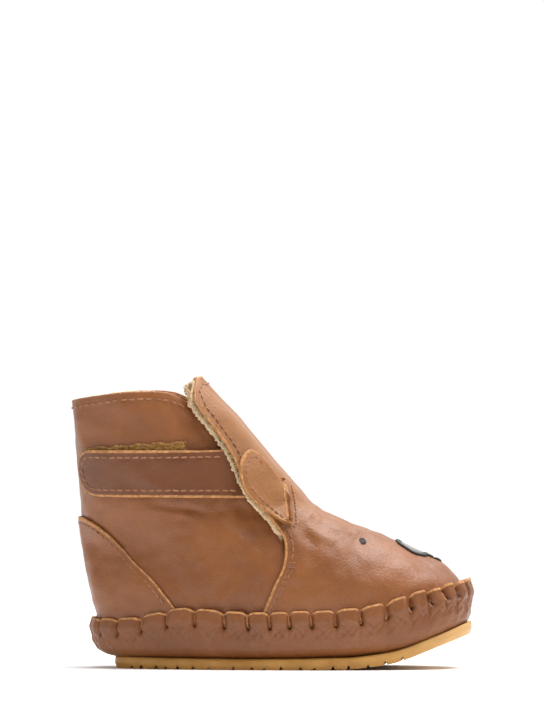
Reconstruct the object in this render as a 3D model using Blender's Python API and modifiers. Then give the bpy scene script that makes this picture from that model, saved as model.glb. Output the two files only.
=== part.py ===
"""Baby bootie: gum outsole, gathered moccasin tray, vamp, quarter, tilting front flap and two peel-open straps.

Row frame in metres: +X to the toe, +Z up, origin under the middle of the sole. The outer side is -Y.
Every layer is an offset of one skin: a stack of level sections, each an egg-shaped superellipse.
"""
import bpy
import bmesh
import numpy as np
from mathutils import Matrix, Vector

MM = 0.001

# ---- driving dimensions, millimetres -------------------------------------------------------------
LENGTH_GROW = 1.0          # stretches every lengthwise station
WIDTH_GROW = 1.0           # stretches every half width
LEATHER = 1.2              # leather thickness
FLEECE = 2.0               # lining pile thickness
GAP = 0.3                  # air left between neighbouring layers
WING_LIFT = 5.0            # how far the flap's free edges stand off the quarter
SEAM_LIFT = 1.7            # how far the vamp stands off where it laps the quarter
SOLE_T = 4.3               # outsole thickness
SOLE_HALF = 27.5           # outsole half width
TRAY_HALF = 31.2           # tray half width
WALL = 1.3                 # tray leather with its lining
GROOVE_W = 1.3             # sole groove width
GROOVE_H = 1.1             # sole groove height
THREAD_R = 0.28            # sewing thread radius
WING_REACH = WING_LIFT + 2 * (LEATHER - 1.2)     # free edges stand off more over thicker leather
STRAP_FLOAT = WING_REACH - 2 * LEATHER - 0.3     # strap's inner face above the quarter, tucked under the flap
TAPE_T = 0.65              # hook tape thickness
PATCH_T = 0.8              # loop patch thickness
TIP_ANGLE = 2.84           # where the strap's round tip ends, radians round the heel
AXIS_BACK = 1.6            # strap's fold line behind the flap's edge
CREASE = (15.2, 60.6)      # flap's fold at the ridge
TACK = (5.2, 36.6)         # lower end of the flap's free edge
ORIGIN_X = 0.66            # brings the middle of the whole part over the origin
SECTION_POWER = 0.7        # below 1 squares the sections

# stations: height, then position at that height
BACK = [(10, -60.8), (14, -61.5), (20, -62.3), (24, -63.8), (31, -65.6), (42, -67.2), (54, -68.8), (60, -69.4),
        (78, -70.9), (94, -72.3), (106, -73)]
FRONT = [(10, 68.2), (14, 68.5), (22, 68.6), (26, 68), (31.2, 66.6), (34.1, 63.7), (37, 61.2), (39.8, 56.5),
         (42.7, 48.8), (45.6, 43.2), (48.4, 35.7), (51.3, 29.6), (54.2, 23.9), (57, 18.8), (60.6, 15.2),
         (65.7, 9.9), (71.4, 3.8), (77.1, -1.6), (82.9, -6.3), (88.6, -11.3), (94.4, -17), (100.1, -23.5),
         (106, -29.5)]
HALF = [(10, 26.6), (14, 27.2), (20, 27.5), (28, 28), (36, 27), (44, 25.4), (52, 24), (62, 23.2), (78, 22.8),
        (94, 23.2), (106, 23.4)]
EGG = [(14, 0.12), (26, 0.11), (40, 0.06), (52, 0.0), (70, -0.04), (106, -0.05)]
# free edge of the flap above the tack, side seam below it: height, station
EDGE = [(10, -5.5), (21.2, -1.6), (30, 2.2), (36.6, 5.2), (41, 5.7), (45.9, 5.0), (51, 1.2), (56.8, -4.4),
        (61.8, -8.3), (67.6, -11.4), (78, -16.5), (86.3, -21.5), (93.7, -26.4), (100, -28.6), (106, -30.5)]
LIFT = [(30, 1.7), (36.6, 1.7), (46, 2.6), (54, 4.0), (60, 5.0), (106, 5.0)]
TRAY_TOP = [(-66, 17.8), (-52, 17.8), (-33, 21), (-10, 20), (15, 20.6), (33, 21.6), (42, 23), (50, 26.0),
            (57, 28), (63, 29.4), (71, 31.2)]
SPRING = [(30, 0), (44.7, 2.5), (57.2, 7.2), (70.1, 12.4), (80, 16.5)]
COLLAR = [(0, 95.1), (0.35, 97.4), (0.6, 98.7), (0.84, 100.1), (0.92, 98.8), (1, 94)]
COUNTER = [(0, 53.8), (0.2, 51.5), (0.38, 46.6), (0.56, 37.3), (0.74, 29.1), (0.9, 20), (1, 16.5)]
EAR_RIM = [(5.3, 68.6), (-2.0, 76.4), (-6.3, 78.4), (-9.1, 76.2), (-10.3, 72.3), (-10.3, 67), (-7.9, 61.4),
           (-1, 56.2), (7.7, 52.5)]
GROOVES = (-50, -44, -37.5, -33, -26, -20, -13, -8.5, -2, 4, 11, 16, 22.5, 28, 35, 41)

COLLECTION = "baby_bootie"
MATERIALS = {
    "tan_leather": ((0.29, 0.115, 0.052), 0.55),
    "raw_leather": ((0.62, 0.34, 0.13), 0.75),
    "gum_rubber": ((0.52, 0.24, 0.055), 0.6),
    "fleece": ((0.75, 0.62, 0.42), 0.95),
    "board": ((0.45, 0.38, 0.3), 0.85),
    "foam": ((0.8, 0.78, 0.72), 0.9),
    "hook_tape": ((0.1, 0.06, 0.04), 0.7),
    "loop_pile": ((0.36, 0.17, 0.04), 0.95),
    "thread": ((0.62, 0.36, 0.24), 0.7),
    "black_thread": ((0.015, 0.014, 0.014), 0.6),
    "grey_felt": ((0.14, 0.13, 0.12), 0.85),
}


# ---- helpers -------------------------------------------------------------------------------------
def table(rows, q, soft=2.0):
    """Smoothed reading of a station table: the mean of the straight-line reading over +-soft."""
    keys = np.array([r[0] for r in rows], float)
    vals = np.array([r[1] for r in rows], float)
    q = np.asarray(q, float)
    spread = np.linspace(-soft, soft, 5)
    return sum(np.interp(q + s, keys, vals) for s in spread) / 5


def smooth(lo, hi, q):
    """Smoothstep from 0 at lo to 1 at hi."""
    u = np.clip((np.asarray(q, float) - lo) / (hi - lo), 0, 1)
    return u * u * (3 - 2 * u)


def centre(z):
    """Middle station and half length of the level section at height z."""
    back = table(BACK, z)
    front = table(FRONT, z)
    return (back + front) / 2, (front - back) / 2


def skin(theta, z):
    """Point of the skin: theta is 0 at the toe ridge, pi at the heel, negative on the outer side."""
    mid, half = centre(z)
    c = np.cos(theta)
    s = np.sin(theta)
    w = table(HALF, z) * WIDTH_GROW
    y = w * np.sign(s) * np.abs(s) ** SECTION_POWER * (1 + table(EGG, z) * c)
    return np.stack([(mid + half * c) * LENGTH_GROW, y, z + 0 * theta], axis=-1)


def lifted(theta, z, d):
    """Skin point moved d millimetres out along the skin's normal."""
    theta = np.asarray(theta, float)
    z = np.asarray(z, float)
    near = np.where(np.abs(np.sin(theta)) < 0.03, 0.03, 0.01)
    along = skin(theta + near, z) - skin(theta - near, z)
    up = skin(theta, z + 0.4) - skin(theta, z - 0.4)
    n = np.cross(along, up)
    n /= np.linalg.norm(n, axis=-1, keepdims=True)
    return skin(theta, z) + n * np.asarray(d, float)[..., None]


def angle_at(x, z):
    """Section angle (0..pi) whose station is x at height z."""
    mid, half = centre(z)
    return np.arccos(np.clip((x - mid) / half, -0.999, 0.999))


def edge_angle(z):
    return angle_at(table(EDGE, z), z)


def wing(t, z):
    """Outward offset of vamp and flap: zero on the ridge, LIFT at their side edges."""
    scale = WING_REACH / 5.0
    return (SEAM_LIFT + (table(LIFT, z) - 1.7) * scale) * smooth(0.3, 0.72, np.abs(t))


def fold_station(z):
    """Station of the line where flap and vamp part, at height z."""
    return TACK[0] + (z - TACK[1]) * (CREASE[0] - TACK[0]) / (CREASE[1] - TACK[1])


def fold_height(t, shift):
    """Height where column t meets the fold line moved forward by shift."""
    lo = np.full(np.shape(t), TACK[1] - 0.1)
    hi = np.full(np.shape(t), CREASE[1] + 4.0)
    for _ in range(40):
        m = (lo + hi) / 2
        x = skin(t * edge_angle(m), m)[..., 0] / LENGTH_GROW
        ahead = x > fold_station(m) + shift
        lo = np.where(ahead, m, lo)
        hi = np.where(ahead, hi, m)
    return (lo + hi) / 2


def top_point(x, y, d):
    """Point of the vamp's top over plan position x, y, moved d out."""
    x = np.asarray(x, float)
    lo = np.full(x.shape, 28.0)
    hi = np.full(x.shape, 104.0)
    for _ in range(40):
        m = (lo + hi) / 2
        mid, half = centre(m)
        c = np.clip((x - mid) / half, -1, 1)
        w = table(HALF, m) * WIDTH_GROW * (1 - c * c) ** (SECTION_POWER / 2) * (1 + table(EGG, m) * c)
        inside = w > np.abs(y)
        lo = np.where(inside, m, lo)
        hi = np.where(inside, hi, m)
    z = (lo + hi) / 2
    sign = np.where(np.asarray(y) < 0, -1, 1)
    a = angle_at(x, z)
    return lifted(sign * a, z, wing(a / edge_angle(z), z) + d)


def material(name):
    mat = bpy.data.materials.get(name)
    if mat is None:
        colour, rough = MATERIALS[name]
        mat = bpy.data.materials.new(name)
        mat.use_nodes = True
        shader = mat.node_tree.nodes["Principled BSDF"]
        shader.inputs["Base Color"].default_value = (*colour, 1)
        shader.inputs["Roughness"].default_value = rough
        shader.inputs["Metallic"].default_value = 0.0
        mat.diffuse_color = (*colour, 1)
    return mat


def add_object(name, data, slot, owner):
    obj = bpy.data.objects.new(name, data)
    owner.objects.link(obj)
    if slot:
        data.materials.append(material(slot))
    return obj


def grid_mesh(name, pts, wrap=False, flip=False):
    """Mesh of a rows x columns grid of points in millimetres; doubled points are welded."""
    rows, cols = pts.shape[:2]
    index = np.arange(rows * cols).reshape(rows, cols)
    if wrap:
        index = np.concatenate([index, index[:, :1]], axis=1)
    a = index[:-1, :-1].ravel()
    b = index[:-1, 1:].ravel()
    c = index[1:, 1:].ravel()
    d = index[1:, :-1].ravel()
    quads = np.stack([a, b, c, d], axis=1)
    if flip:
        quads = quads[:, ::-1]
    mesh = bpy.data.meshes.new(name)
    placed = pts.reshape(-1, 3) + np.array([ORIGIN_X, 0, 0])
    mesh.from_pydata((placed * MM).tolist(), [], quads.tolist())
    work = bmesh.new()
    work.from_mesh(mesh)
    bmesh.ops.remove_doubles(work, verts=work.verts, dist=0.00001)
    work.to_mesh(mesh)
    work.free()
    mesh.validate()
    return mesh


def sheet(name, pts, thickness, slot, owner, flip=False):
    """Open grid thickened inwards by Solidify."""
    obj = add_object(name, grid_mesh(name, pts, flip=flip), slot, owner)
    mod = obj.modifiers.new("thickness", "SOLIDIFY")
    mod.thickness = thickness * MM
    mod.offset = -1
    mod.use_even_offset = True
    mod.thickness_clamp = 0
    return obj


def thread(name, pts, radius, slot, owner, cyclic=False):
    """Round cord through the points."""
    curve = bpy.data.curves.new(name, "CURVE")
    curve.dimensions = "3D"
    spline = curve.splines.new("POLY")
    spline.points.add(len(pts) - 1)
    flat = np.ones((len(pts), 4))
    flat[:, :3] = (np.asarray(pts) + np.array([ORIGIN_X, 0, 0])) * MM
    spline.points.foreach_set("co", flat.ravel())
    spline.use_cyclic_u = cyclic
    curve.bevel_depth = radius * MM
    curve.bevel_resolution = 1
    curve.use_fill_caps = not cyclic
    return add_object(name, curve, slot, owner)


# ---- foot: sole, tray and footbed ----------------------------------------------------------------
def spring(x):
    return np.asarray(table(SPRING, x, 3.0), float) - float(table(SPRING, 20.0, 3.0))


def plan(theta, inset):
    """Tray outline in plan, moved in by inset."""
    half = 68.2 - inset
    c = np.cos(theta)
    s = np.sin(theta)
    y = (TRAY_HALF - inset) * WIDTH_GROW * np.sign(s) * np.abs(s) ** SECTION_POWER * (1 + 0.12 * c)
    return (2.7 + half * c) * LENGTH_GROW, y


def slab(name, outline, low, high, slot, owner, stations=26):
    """Plate that follows the sole's bend: outline(theta) in plan, low and high above the bend."""
    theta = np.linspace(0, np.pi, stations)
    x, y = outline(theta)
    y = np.abs(y)
    across = [-1, -0.5, 0, 0.5, 1]
    loop = [(a, low) for a in across] + [(a, high) for a in reversed(across)]
    pts = np.zeros((stations, len(loop), 3))
    for j, (a, rise) in enumerate(loop):
        pts[:, j] = np.stack([x, a * y, spring(x / LENGTH_GROW) + rise], axis=-1)
    return add_object(name, grid_mesh(name, pts, wrap=True, flip=True), slot, owner)


def sole_outline(theta):
    c = np.cos(theta)
    s = np.sin(theta)
    y = SOLE_HALF * WIDTH_GROW * np.sign(s) * np.abs(s) ** SECTION_POWER * (1 + 0.11 * c)
    return (5.7 + 64.6 * c) * LENGTH_GROW, y


def make_outsole(owner, cutters):
    obj = slab("outsole", sole_outline, 0, SOLE_T, "gum_rubber", owner, 40)
    bars = bmesh.new()
    for x in GROOVES:
        z = float(spring(x))
        made = bmesh.ops.create_cube(bars, size=1.0)["verts"]
        bmesh.ops.scale(bars, vec=(GROOVE_W * MM, 0.08, 2 * GROOVE_H * MM), verts=made)
        bmesh.ops.translate(bars, vec=((x * LENGTH_GROW + ORIGIN_X) * MM, 0, z * MM), verts=made)
    data = bpy.data.meshes.new("sole_grooves")
    bars.to_mesh(data)
    bars.free()
    cutter = add_object("sole_grooves", data, None, cutters)
    cutter.hide_render = True
    cutter.display_type = "WIRE"
    cut = obj.modifiers.new("grooves", "BOOLEAN")
    cut.operation = "DIFFERENCE"
    cut.solver = "EXACT"
    cut.object = cutter


def tray_wall(theta, v):
    """Tray's outer face: v is 0 at the sole and 1 at the gathered top edge."""
    inset = np.interp(v, [0, 0.08, 0.2, 0.4, 0.6, 0.8, 1], [5.5, 3.2, 1.4, 0.3, 0, 0, 0.1])
    inset = inset + 1.3 * smooth(0.55, 1, v) * smooth(0.6, 1, np.cos(theta))
    x, y = plan(theta, inset)
    station = x / LENGTH_GROW
    low = spring(station) + SOLE_T + GAP
    return np.stack([x, y, low + v * (table(TRAY_TOP, station, 3.0) + SOLE_T - 4.3 - low)], axis=-1)


def make_tray(owner):
    theta = np.linspace(0, np.pi, 34)
    heights = [1, 0.7, 0.4, 0.18, 0.05, 0]
    left = [tray_wall(theta, v) for v in heights]
    right = [p * np.array([1, -1, 1]) for p in reversed(left)]
    rows = left + [left[-1] * np.array([1, 0, 1])] + right
    pts = np.stack(rows, axis=1)
    sheet("moccasin_tray", pts, WALL, "tan_leather", owner)
    turn = np.linspace(0, 2 * np.pi, 60, endpoint=False)
    base = tray_wall(turn, 0.7)
    outer = plan(turn, -(THREAD_R + GAP))
    base[:, 0] = outer[0]
    base[:, 1] = outer[1]
    thread("gather_thread", base, THREAD_R, "thread", owner, True)


def make_footbed(owner):
    base = SOLE_T + GAP + WALL + GAP
    slab("insole_board", lambda a: plan(a, 6.2), base, base + 1.2, "board", owner)
    slab("footbed_foam", lambda a: plan(a, 5.0), base + 1.5, base + 3.6, "foam", owner)
    slab("footbed_fleece", lambda a: plan(a, 5.0), base + 3.9, base + 5.3, "fleece", owner)


# ---- upper ---------------------------------------------------------------------------------------
def low_edge(x, extra=0.0):
    """Lower edge of the upper, tucked inside the tray."""
    return table(TRAY_TOP, x, 3.0) + SOLE_T - 4.3 - 6.0 + extra


def settle(t, angle, height, extra):
    """Lower height of column t such that it sits on the low edge."""
    z = np.full(np.shape(t), 16.0)
    for _ in range(12):
        x = skin(angle(t, z), z)[..., 0] / LENGTH_GROW
        z = low_edge(x, extra)
    return z


def make_vamp(owner):
    t = np.linspace(-1, 1, 31)
    v = np.linspace(0, 1, 10)[:, None]
    low = settle(t, lambda a, z: a * edge_angle(z), None, 0)
    high = fold_height(t, 0.9) - 0.6 * smooth(0.8, 1, np.abs(t))
    z = low + (high - low) * v
    pts = lifted(t * edge_angle(z), z, wing(t, z))
    sheet("vamp", pts, LEATHER, "tan_leather", owner)
    t = np.linspace(-0.84, 0.84, 23)
    low = settle(t, lambda a, z: a * edge_angle(z), None, 0.6)
    high = fold_height(t, 2.2)
    z = low + (high - low) * v[::1]
    pts = lifted(t * edge_angle(z), z, wing(t, z) - LEATHER - GAP - 0.15)
    sheet("vamp_lining", pts, FLEECE, "fleece", owner)


def quarter_edge(z):
    """Angle of the quarter's front edge, hidden under vamp and flap."""
    tuck = np.interp(z, [38, 60], [8.0, 5.0])
    return angle_at(table(EDGE, z) + tuck, z)


def quarter_grid(cols, rows, low_extra, high_extra, back_off):
    """Grid over the quarter: t runs from the outer side (-1) round the heel (0) to the inner side (1)."""
    t = np.linspace(-1, 1, cols)
    v = np.linspace(0, 1, rows)[:, None]

    def angle(a, z):
        span = np.pi - quarter_edge(z) - back_off
        return np.pi - a * span

    low = settle(t, angle, None, low_extra)
    high = table(COLLAR, np.abs(t), 0.02) + high_extra
    z = low + (high - low) * v
    return t, z, angle(t, z)


def counter_height(t):
    return table(COUNTER, np.abs(t) / 0.62, 0.03)


def make_quarter(owner):
    t, z, a = quarter_grid(43, 11, 0, 0, 0)
    pts = lifted(a, z, 0 * z)
    sheet("quarter", pts, LEATHER, "tan_leather", owner, True)
    t, z, a = quarter_grid(43, 9, 0.6, -1.2, 0.03)
    stiff = (1 - smooth(0.36, 0.46, np.abs(t))) * (1 - smooth(44, 50, z))
    pts = lifted(a, z, -(LEATHER + GAP + 0.25) - 1.1 * stiff - 0.4 * smooth(82, 92, z))
    sheet("quarter_lining", pts, FLEECE, "fleece", owner, True)
    t = np.linspace(-0.33, 0.33, 17)
    v = np.linspace(0, 1, 5)[:, None]
    z = 13.5 + (42 - 6 * (t / 0.33) ** 2 - 13.5) * v
    a = np.pi - t * (np.pi - quarter_edge(z))
    sheet("heel_stiffener", lifted(a, z, -(LEATHER + GAP) + 0 * z), 0.8, "board", owner, True)


def make_counter(owner):
    t = np.linspace(-0.6, 0.6, 27)
    v = np.linspace(0, 1, 6)[:, None]
    low = low_edge(np.full(t.shape, -50.0), 0.4)
    high = np.maximum(counter_height(t), low + 1.0)
    z = low + (high - low) * v
    a = np.pi - t * (np.pi - quarter_edge(z))
    lift = GAP + 0.8
    sheet("heel_counter", lifted(a, z, lift + 0 * z), 0.8, "tan_leather", owner, True)
    line = np.linspace(-0.5, 0.5, 23)
    z = counter_height(line) - 1.9
    a = np.pi - line * (np.pi - quarter_edge(z))
    thread("counter_thread", lifted(a, z, lift + GAP + THREAD_R + 0 * z), THREAD_R, "thread", owner)


def make_trim(owner):
    t = np.linspace(-0.79, 0.79, 31)
    z = table(COLLAR, np.abs(t), 0.02) - 2.0
    a = np.pi - t * (np.pi - quarter_edge(z))
    thread("collar_thread", lifted(a, z, GAP + THREAD_R + 0 * z), THREAD_R, "thread", owner)
    for side, sign in (("right", -1), ("left", 1)):
        z = np.linspace(22.5, 35.5, 7)
        a = sign * angle_at(table(EDGE, z) + 2.0, z)
        d = wing(1, z) + GAP + THREAD_R
        thread("vamp_seam_thread_" + side, lifted(a, z, d), THREAD_R, "thread", owner)
        x = np.linspace(-66.2, -30.5, 13)
        v = np.linspace(0, 1, 5)[:, None]
        z = 62.8 + (80.6 - 62.8) * v + 0 * x
        a = sign * angle_at(x + 0 * z, z)
        pts = lifted(a, z, GAP + PATCH_T + 0 * z)
        sheet("loop_patch_" + side, pts, PATCH_T, "loop_pile", owner, flip=sign > 0)


def oval(cx, cy, rx, ry, rings, spokes):
    """Plan points of an oval disc as rings from the middle outwards."""
    turn = np.linspace(0, 2 * np.pi, spokes, endpoint=False)
    r = np.linspace(0, 1, rings)[:, None]
    return cx + rx * r * np.cos(turn), cy + ry * r * np.sin(turn)


def disc(name, cx, cy, rx, ry, d, thick, slot, owner, rings=3, spokes=18):
    x, y = oval(cx, cy, rx, ry, rings, spokes)
    mesh = grid_mesh(name, top_point(x, y, d), wrap=True, flip=True)
    obj = add_object(name, mesh, slot, owner)
    mod = obj.modifiers.new("thickness", "SOLIDIFY")
    mod.thickness = thick * MM
    mod.offset = -1
    mod.thickness_clamp = 0
    return obj


def make_face(owner):
    disc("nose_patch", 48.6, 0, 5.2, 7.0, 1.0, 0.7, "grey_felt", owner)
    turn = np.linspace(0, 2 * np.pi, 28, endpoint=False)
    ring = top_point(48.6 + 6.2 * np.cos(turn), 8.0 * np.sin(turn), 0.8)
    thread("nose_border", ring, 0.5, "black_thread", owner, True)
    x = np.linspace(56.0, 62.2, 7)
    thread("mouth_stitch", top_point(x, 0 * x, 0.7), 0.35, "black_thread", owner)
    for side, sign in (("right", -1), ("left", 1)):
        disc("eye_" + side, 32.1, sign * 19.0, 1.6, 1.2, 0.9, 0.6, "black_thread", owner, 3, 14)


# ---- flap ----------------------------------------------------------------------------------------
def flap_top(t):
    """Rounded upper edge of the flap."""
    return 104.6 - 3.0 * t**2 - 6.0 * t**4


def side_point(x, z, d, sign):
    """Point over side-view position x, z, lifted d above the flap's leather."""
    a = angle_at(x, z)
    return lifted(sign * a, z, wing(a / edge_angle(z), z) + d)


def make_flap(owner):
    t = np.linspace(-1, 1, 23)
    v = np.linspace(0, 1, 11)[:, None]
    low = fold_height(t, 0)
    z = low + (flap_top(t) - low) * v
    sheet("front_flap", lifted(t * edge_angle(z), z, wing(t, z)), LEATHER, "tan_leather", owner)
    low = np.maximum(fold_height(t, 0) + 2.0, 63 - 12 * (1 - smooth(0.55, 0.95, np.abs(t))))
    z = low + (flap_top(t) + 0.6 - low) * v
    a = t * angle_at(table(EDGE, z) - 1.6 * smooth(0.9, 1, np.abs(t)), z)
    drop = LEATHER + GAP + 0.25 + (LEATHER + GAP) * smooth(0.3, 0.72, np.abs(t))
    sheet("flap_lining", lifted(a, z, wing(t, z) - drop), 1.3, "fleece", owner)
    up = np.linspace(48, 93, 13)
    side_t = np.full(up.shape, 0.93)
    over = np.linspace(0.86, -0.86, 15)
    t = np.concatenate([side_t, over, -side_t])
    z = np.concatenate([up, flap_top(over) - 2.4, up[::-1]])
    extra = np.concatenate([0 * up + 0.1, 0 * over + 0.35, 0 * up + 0.1])
    pts = lifted(t * edge_angle(z), z, wing(t, z) + GAP + THREAD_R + extra)
    thread("flap_edge_thread", pts, THREAD_R, "thread", owner)


def ear_grid(rows, cols, trim):
    """Side-view points of the ear: rows from its slit to its rim, trim pulls the rim in."""
    rim = np.array(EAR_RIM)
    run = np.concatenate([[0], np.cumsum(np.linalg.norm(np.diff(rim, axis=0), axis=1))])
    s = np.linspace(0.03, 0.97, cols)
    outer = np.stack([table(list(zip(run / run[-1], rim[:, k])), s, 0.03) for k in (0, 1)], axis=-1)
    slit = rim[0] + (rim[-1] - rim[0]) * s[:, None] + np.array([-1.0, 0])
    mid = slit.mean(axis=0)
    outer = outer + (mid - outer) * trim
    r = np.linspace(0, 1, rows)[:, None, None]
    return slit + (outer - slit) * r


def make_ears(owner):
    flat = ear_grid(4, 13, 0)
    rim = ear_grid(2, 17, 0.14)[1]
    for side, sign in (("right", -1), ("left", 1)):
        for layer, lift in (("inner", 2.1), ("outer", 3.3)):
            pts = side_point(flat[..., 0], flat[..., 1], lift, sign)
            sheet("ear_" + side + "_" + layer, pts, 0.8, "tan_leather", owner, flip=sign < 0)
        pts = side_point(rim[:, 0], rim[:, 1], 3.3 + GAP + THREAD_R + 0.1, sign)
        thread("ear_thread_" + side, pts, THREAD_R, "thread", owner)


# ---- straps --------------------------------------------------------------------------------------
def fold_x(z):
    """Station of the strap's fold line, just behind the flap's edge."""
    return -16.5 - AXIS_BACK + (78 - z) * 0.506


def strap_band(cols, rows, first, inset, tail):
    """Angles and heights over a strap; first is the start behind the fold, tail trims the tip end."""
    u = np.linspace(0, 1, cols)
    v = np.linspace(-1, 1, rows)[:, None]
    reach = TIP_ANGLE - tail
    a0 = angle_at(fold_x(70.0) - first, 70.0)
    run = (reach - (a0 + (reach - a0) * u)) * 26.0
    middle = 69.9 + 0.4 * smooth(0.6, 1, u)
    tip = np.sqrt(np.clip(1 - (1 - np.clip(run / 7.0, 0, 1)) ** 2, 0.03, 1))
    half = (8.2 - 1.0 * u - inset) * tip
    z = middle + half * v
    start = angle_at(fold_x(z) - first, z)
    return start + (reach - start) * u, z


def make_strap(side, sign, owner):
    u_cols = 23
    a, z = strap_band(u_cols, 4, 0.7, 0, 0)
    flip = sign < 0
    pts = lifted(sign * a, z, STRAP_FLOAT + LEATHER + 0 * z)
    sheet("strap_" + side, pts, LEATHER, "tan_leather", owner, flip)
    a, z = strap_band(19, 3, 24.0, 1.6, 0.07)
    pts = lifted(sign * a, z, STRAP_FLOAT - GAP + 0 * z)
    sheet("strap_tape_" + side, pts, TAPE_T, "hook_tape", owner, flip)
    a, z = strap_band(23, 3, 2.6, 2.0, 0.08)
    loop_a = np.concatenate([a[0], a[1:2, -1], a[2, ::-1], a[1:2, 0]])
    loop_z = np.concatenate([z[0], z[1:2, -1], z[2, ::-1], z[1:2, 0]])
    d = STRAP_FLOAT + LEATHER + GAP + THREAD_R + 0 * loop_z
    thread("strap_thread_" + side, lifted(sign * loop_a, loop_z, d), THREAD_R, "thread", owner, True)


def make_anchor(side, sign, owner):
    v = np.linspace(0, 1, 5)[:, None]
    run = np.linspace(1.2, 5.2, 4)
    z = 62.8 + (76.8 - 62.8) * v + 0 * run
    a = angle_at(fold_x(z) + run, z)
    pts = lifted(sign * a, z, STRAP_FLOAT + LEATHER - 0.15 + 0 * z)
    sheet("strap_anchor_" + side, pts, LEATHER, "tan_leather", owner, flip=sign > 0)


def hang(name, point, parent, nodes, owner):
    """Empty on a joint's axis that carries the nodes which move with it."""
    pivot = bpy.data.objects.new(name, None)
    owner.objects.link(pivot)
    pivot.empty_display_size = 0.01
    place = Vector(point) + Vector((ORIGIN_X, 0, 0))
    pivot.location = place * MM
    world = Matrix.Translation(place * MM)
    if parent is not None:
        pivot.parent = parent
        pivot.matrix_parent_inverse = Matrix.Translation(parent["world"]).inverted()
    pivot["world"] = tuple(place * MM)
    for obj in list(owner.objects):
        if obj.type != "EMPTY" and obj.name.startswith(nodes):
            obj.parent = pivot
            obj.matrix_parent_inverse = world.inverted()
    return pivot


def strap_pivot(sign):
    """Middle of the strap's fold line, half way through the leather."""
    z = np.linspace(62, 78, 9)
    line = lifted(sign * angle_at(fold_x(z), z), z, STRAP_FLOAT + LEATHER / 2 + 0 * z)
    return tuple(line.mean(axis=0))


def main():
    for obj in list(bpy.data.objects):
        bpy.data.objects.remove(obj, do_unlink=True)
    owner = bpy.data.collections.new(COLLECTION)
    bpy.context.scene.collection.children.link(owner)
    cutters = bpy.data.collections.new("cutters")
    bpy.context.scene.collection.children.link(cutters)
    make_outsole(owner, cutters)
    make_tray(owner)
    make_footbed(owner)
    make_vamp(owner)
    make_quarter(owner)
    make_counter(owner)
    make_trim(owner)
    make_face(owner)
    make_flap(owner)
    make_ears(owner)
    for side, sign in (("right", -1), ("left", 1)):
        make_strap(side, sign, owner)
        make_anchor(side, sign, owner)
    fold = (CREASE[0] + 0.3, 0, CREASE[1] + 0.2)
    flap = hang("flap_pivot", fold, None, ("front_flap", "flap_", "ear_", "strap_anchor_"), owner)
    for side, sign in (("right", -1), ("left", 1)):
        nodes = ("strap_" + side, "strap_tape_" + side, "strap_thread_" + side)
        hang("strap_pivot_" + side, strap_pivot(sign), flap, nodes, owner)


main()
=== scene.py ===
"""Looks of the baby bootie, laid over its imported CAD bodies.

Every leather, fleece and thread piece is an offset of one skin, a stack of level egg-shaped sections.
Lengths in the tables are millimetres in the maker's frame: +X to the toe, +Z up, outer side -Y.
"""
import math

import bpy
import bmesh
import numpy as np
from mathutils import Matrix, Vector


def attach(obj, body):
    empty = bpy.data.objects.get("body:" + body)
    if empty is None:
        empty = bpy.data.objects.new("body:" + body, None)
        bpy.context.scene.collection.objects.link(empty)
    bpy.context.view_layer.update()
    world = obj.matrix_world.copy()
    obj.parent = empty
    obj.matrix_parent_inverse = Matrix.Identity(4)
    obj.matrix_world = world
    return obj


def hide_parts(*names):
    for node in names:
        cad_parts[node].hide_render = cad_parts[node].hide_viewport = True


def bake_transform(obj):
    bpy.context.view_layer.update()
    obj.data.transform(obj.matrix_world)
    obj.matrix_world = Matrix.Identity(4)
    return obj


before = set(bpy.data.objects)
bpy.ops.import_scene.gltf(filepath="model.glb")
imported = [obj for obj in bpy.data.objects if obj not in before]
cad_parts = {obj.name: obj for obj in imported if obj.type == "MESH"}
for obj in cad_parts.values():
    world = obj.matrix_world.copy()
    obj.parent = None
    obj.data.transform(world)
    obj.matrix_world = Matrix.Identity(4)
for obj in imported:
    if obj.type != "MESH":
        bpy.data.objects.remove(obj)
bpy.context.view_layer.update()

MM = 0.001
ORIGIN_X = 0.66
LEATHER = 1.2
TRAY_MIDDLE, TRAY_LONG, TRAY_WIDE = 2.9, 68.3, 31.0
SOLE_MIDDLE, SOLE_LONG, SOLE_WIDE, SOLE_TOP = 7.0, 63.4, 27.9, 4.4
NOSE_X = 49.5
EYE = (32.1, 16.2)
SIDES = (("right", -1), ("left", 1))

# height, then station or width at that height
BACK = [(8, -60.6), (14, -61.5), (20, -62.6), (24, -63.9), (31, -65.6), (42, -67.4), (54, -68.9), (66, -69.8),
        (78, -70.9), (94, -72.2), (106, -73)]
FRONT = [(8, 68.2), (14, 68.5), (22, 68.6), (27, 68.0), (31.2, 66.4), (34.1, 64.0), (37, 60.9), (39.8, 56.2),
         (42.7, 49.9), (45.9, 42.8), (48.1, 38.0), (50.6, 31.4), (53.4, 24.4), (55.6, 18.6), (57.4, 15.4),
         (59.6, 13.0), (62.6, 10.6), (65.3, 8.2), (68, 5.7), (71.4, 2.4), (77.1, -2.8), (82.9, -7.8),
         (88.6, -12.6), (94.4, -18.8), (99, -24.4), (102.4, -28.6), (106, -32)]
HALF = [(8, 26.2), (14, 27.2), (20, 27.6), (28, 28), (36, 27), (44, 25.4), (52, 24), (62, 23.2), (78, 22.8),
        (94, 23.2), (106, 23.4)]
EGG = [(14, 0.12), (26, 0.11), (40, 0.06), (52, 0.0), (70, -0.04), (106, -0.05)]
POWER = [(8, 0.7), (24, 0.7), (30, 0.76), (37, 0.95), (44, 1.12), (50, 1.05), (60, 0.85), (74, 0.74), (106, 0.7)]
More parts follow.
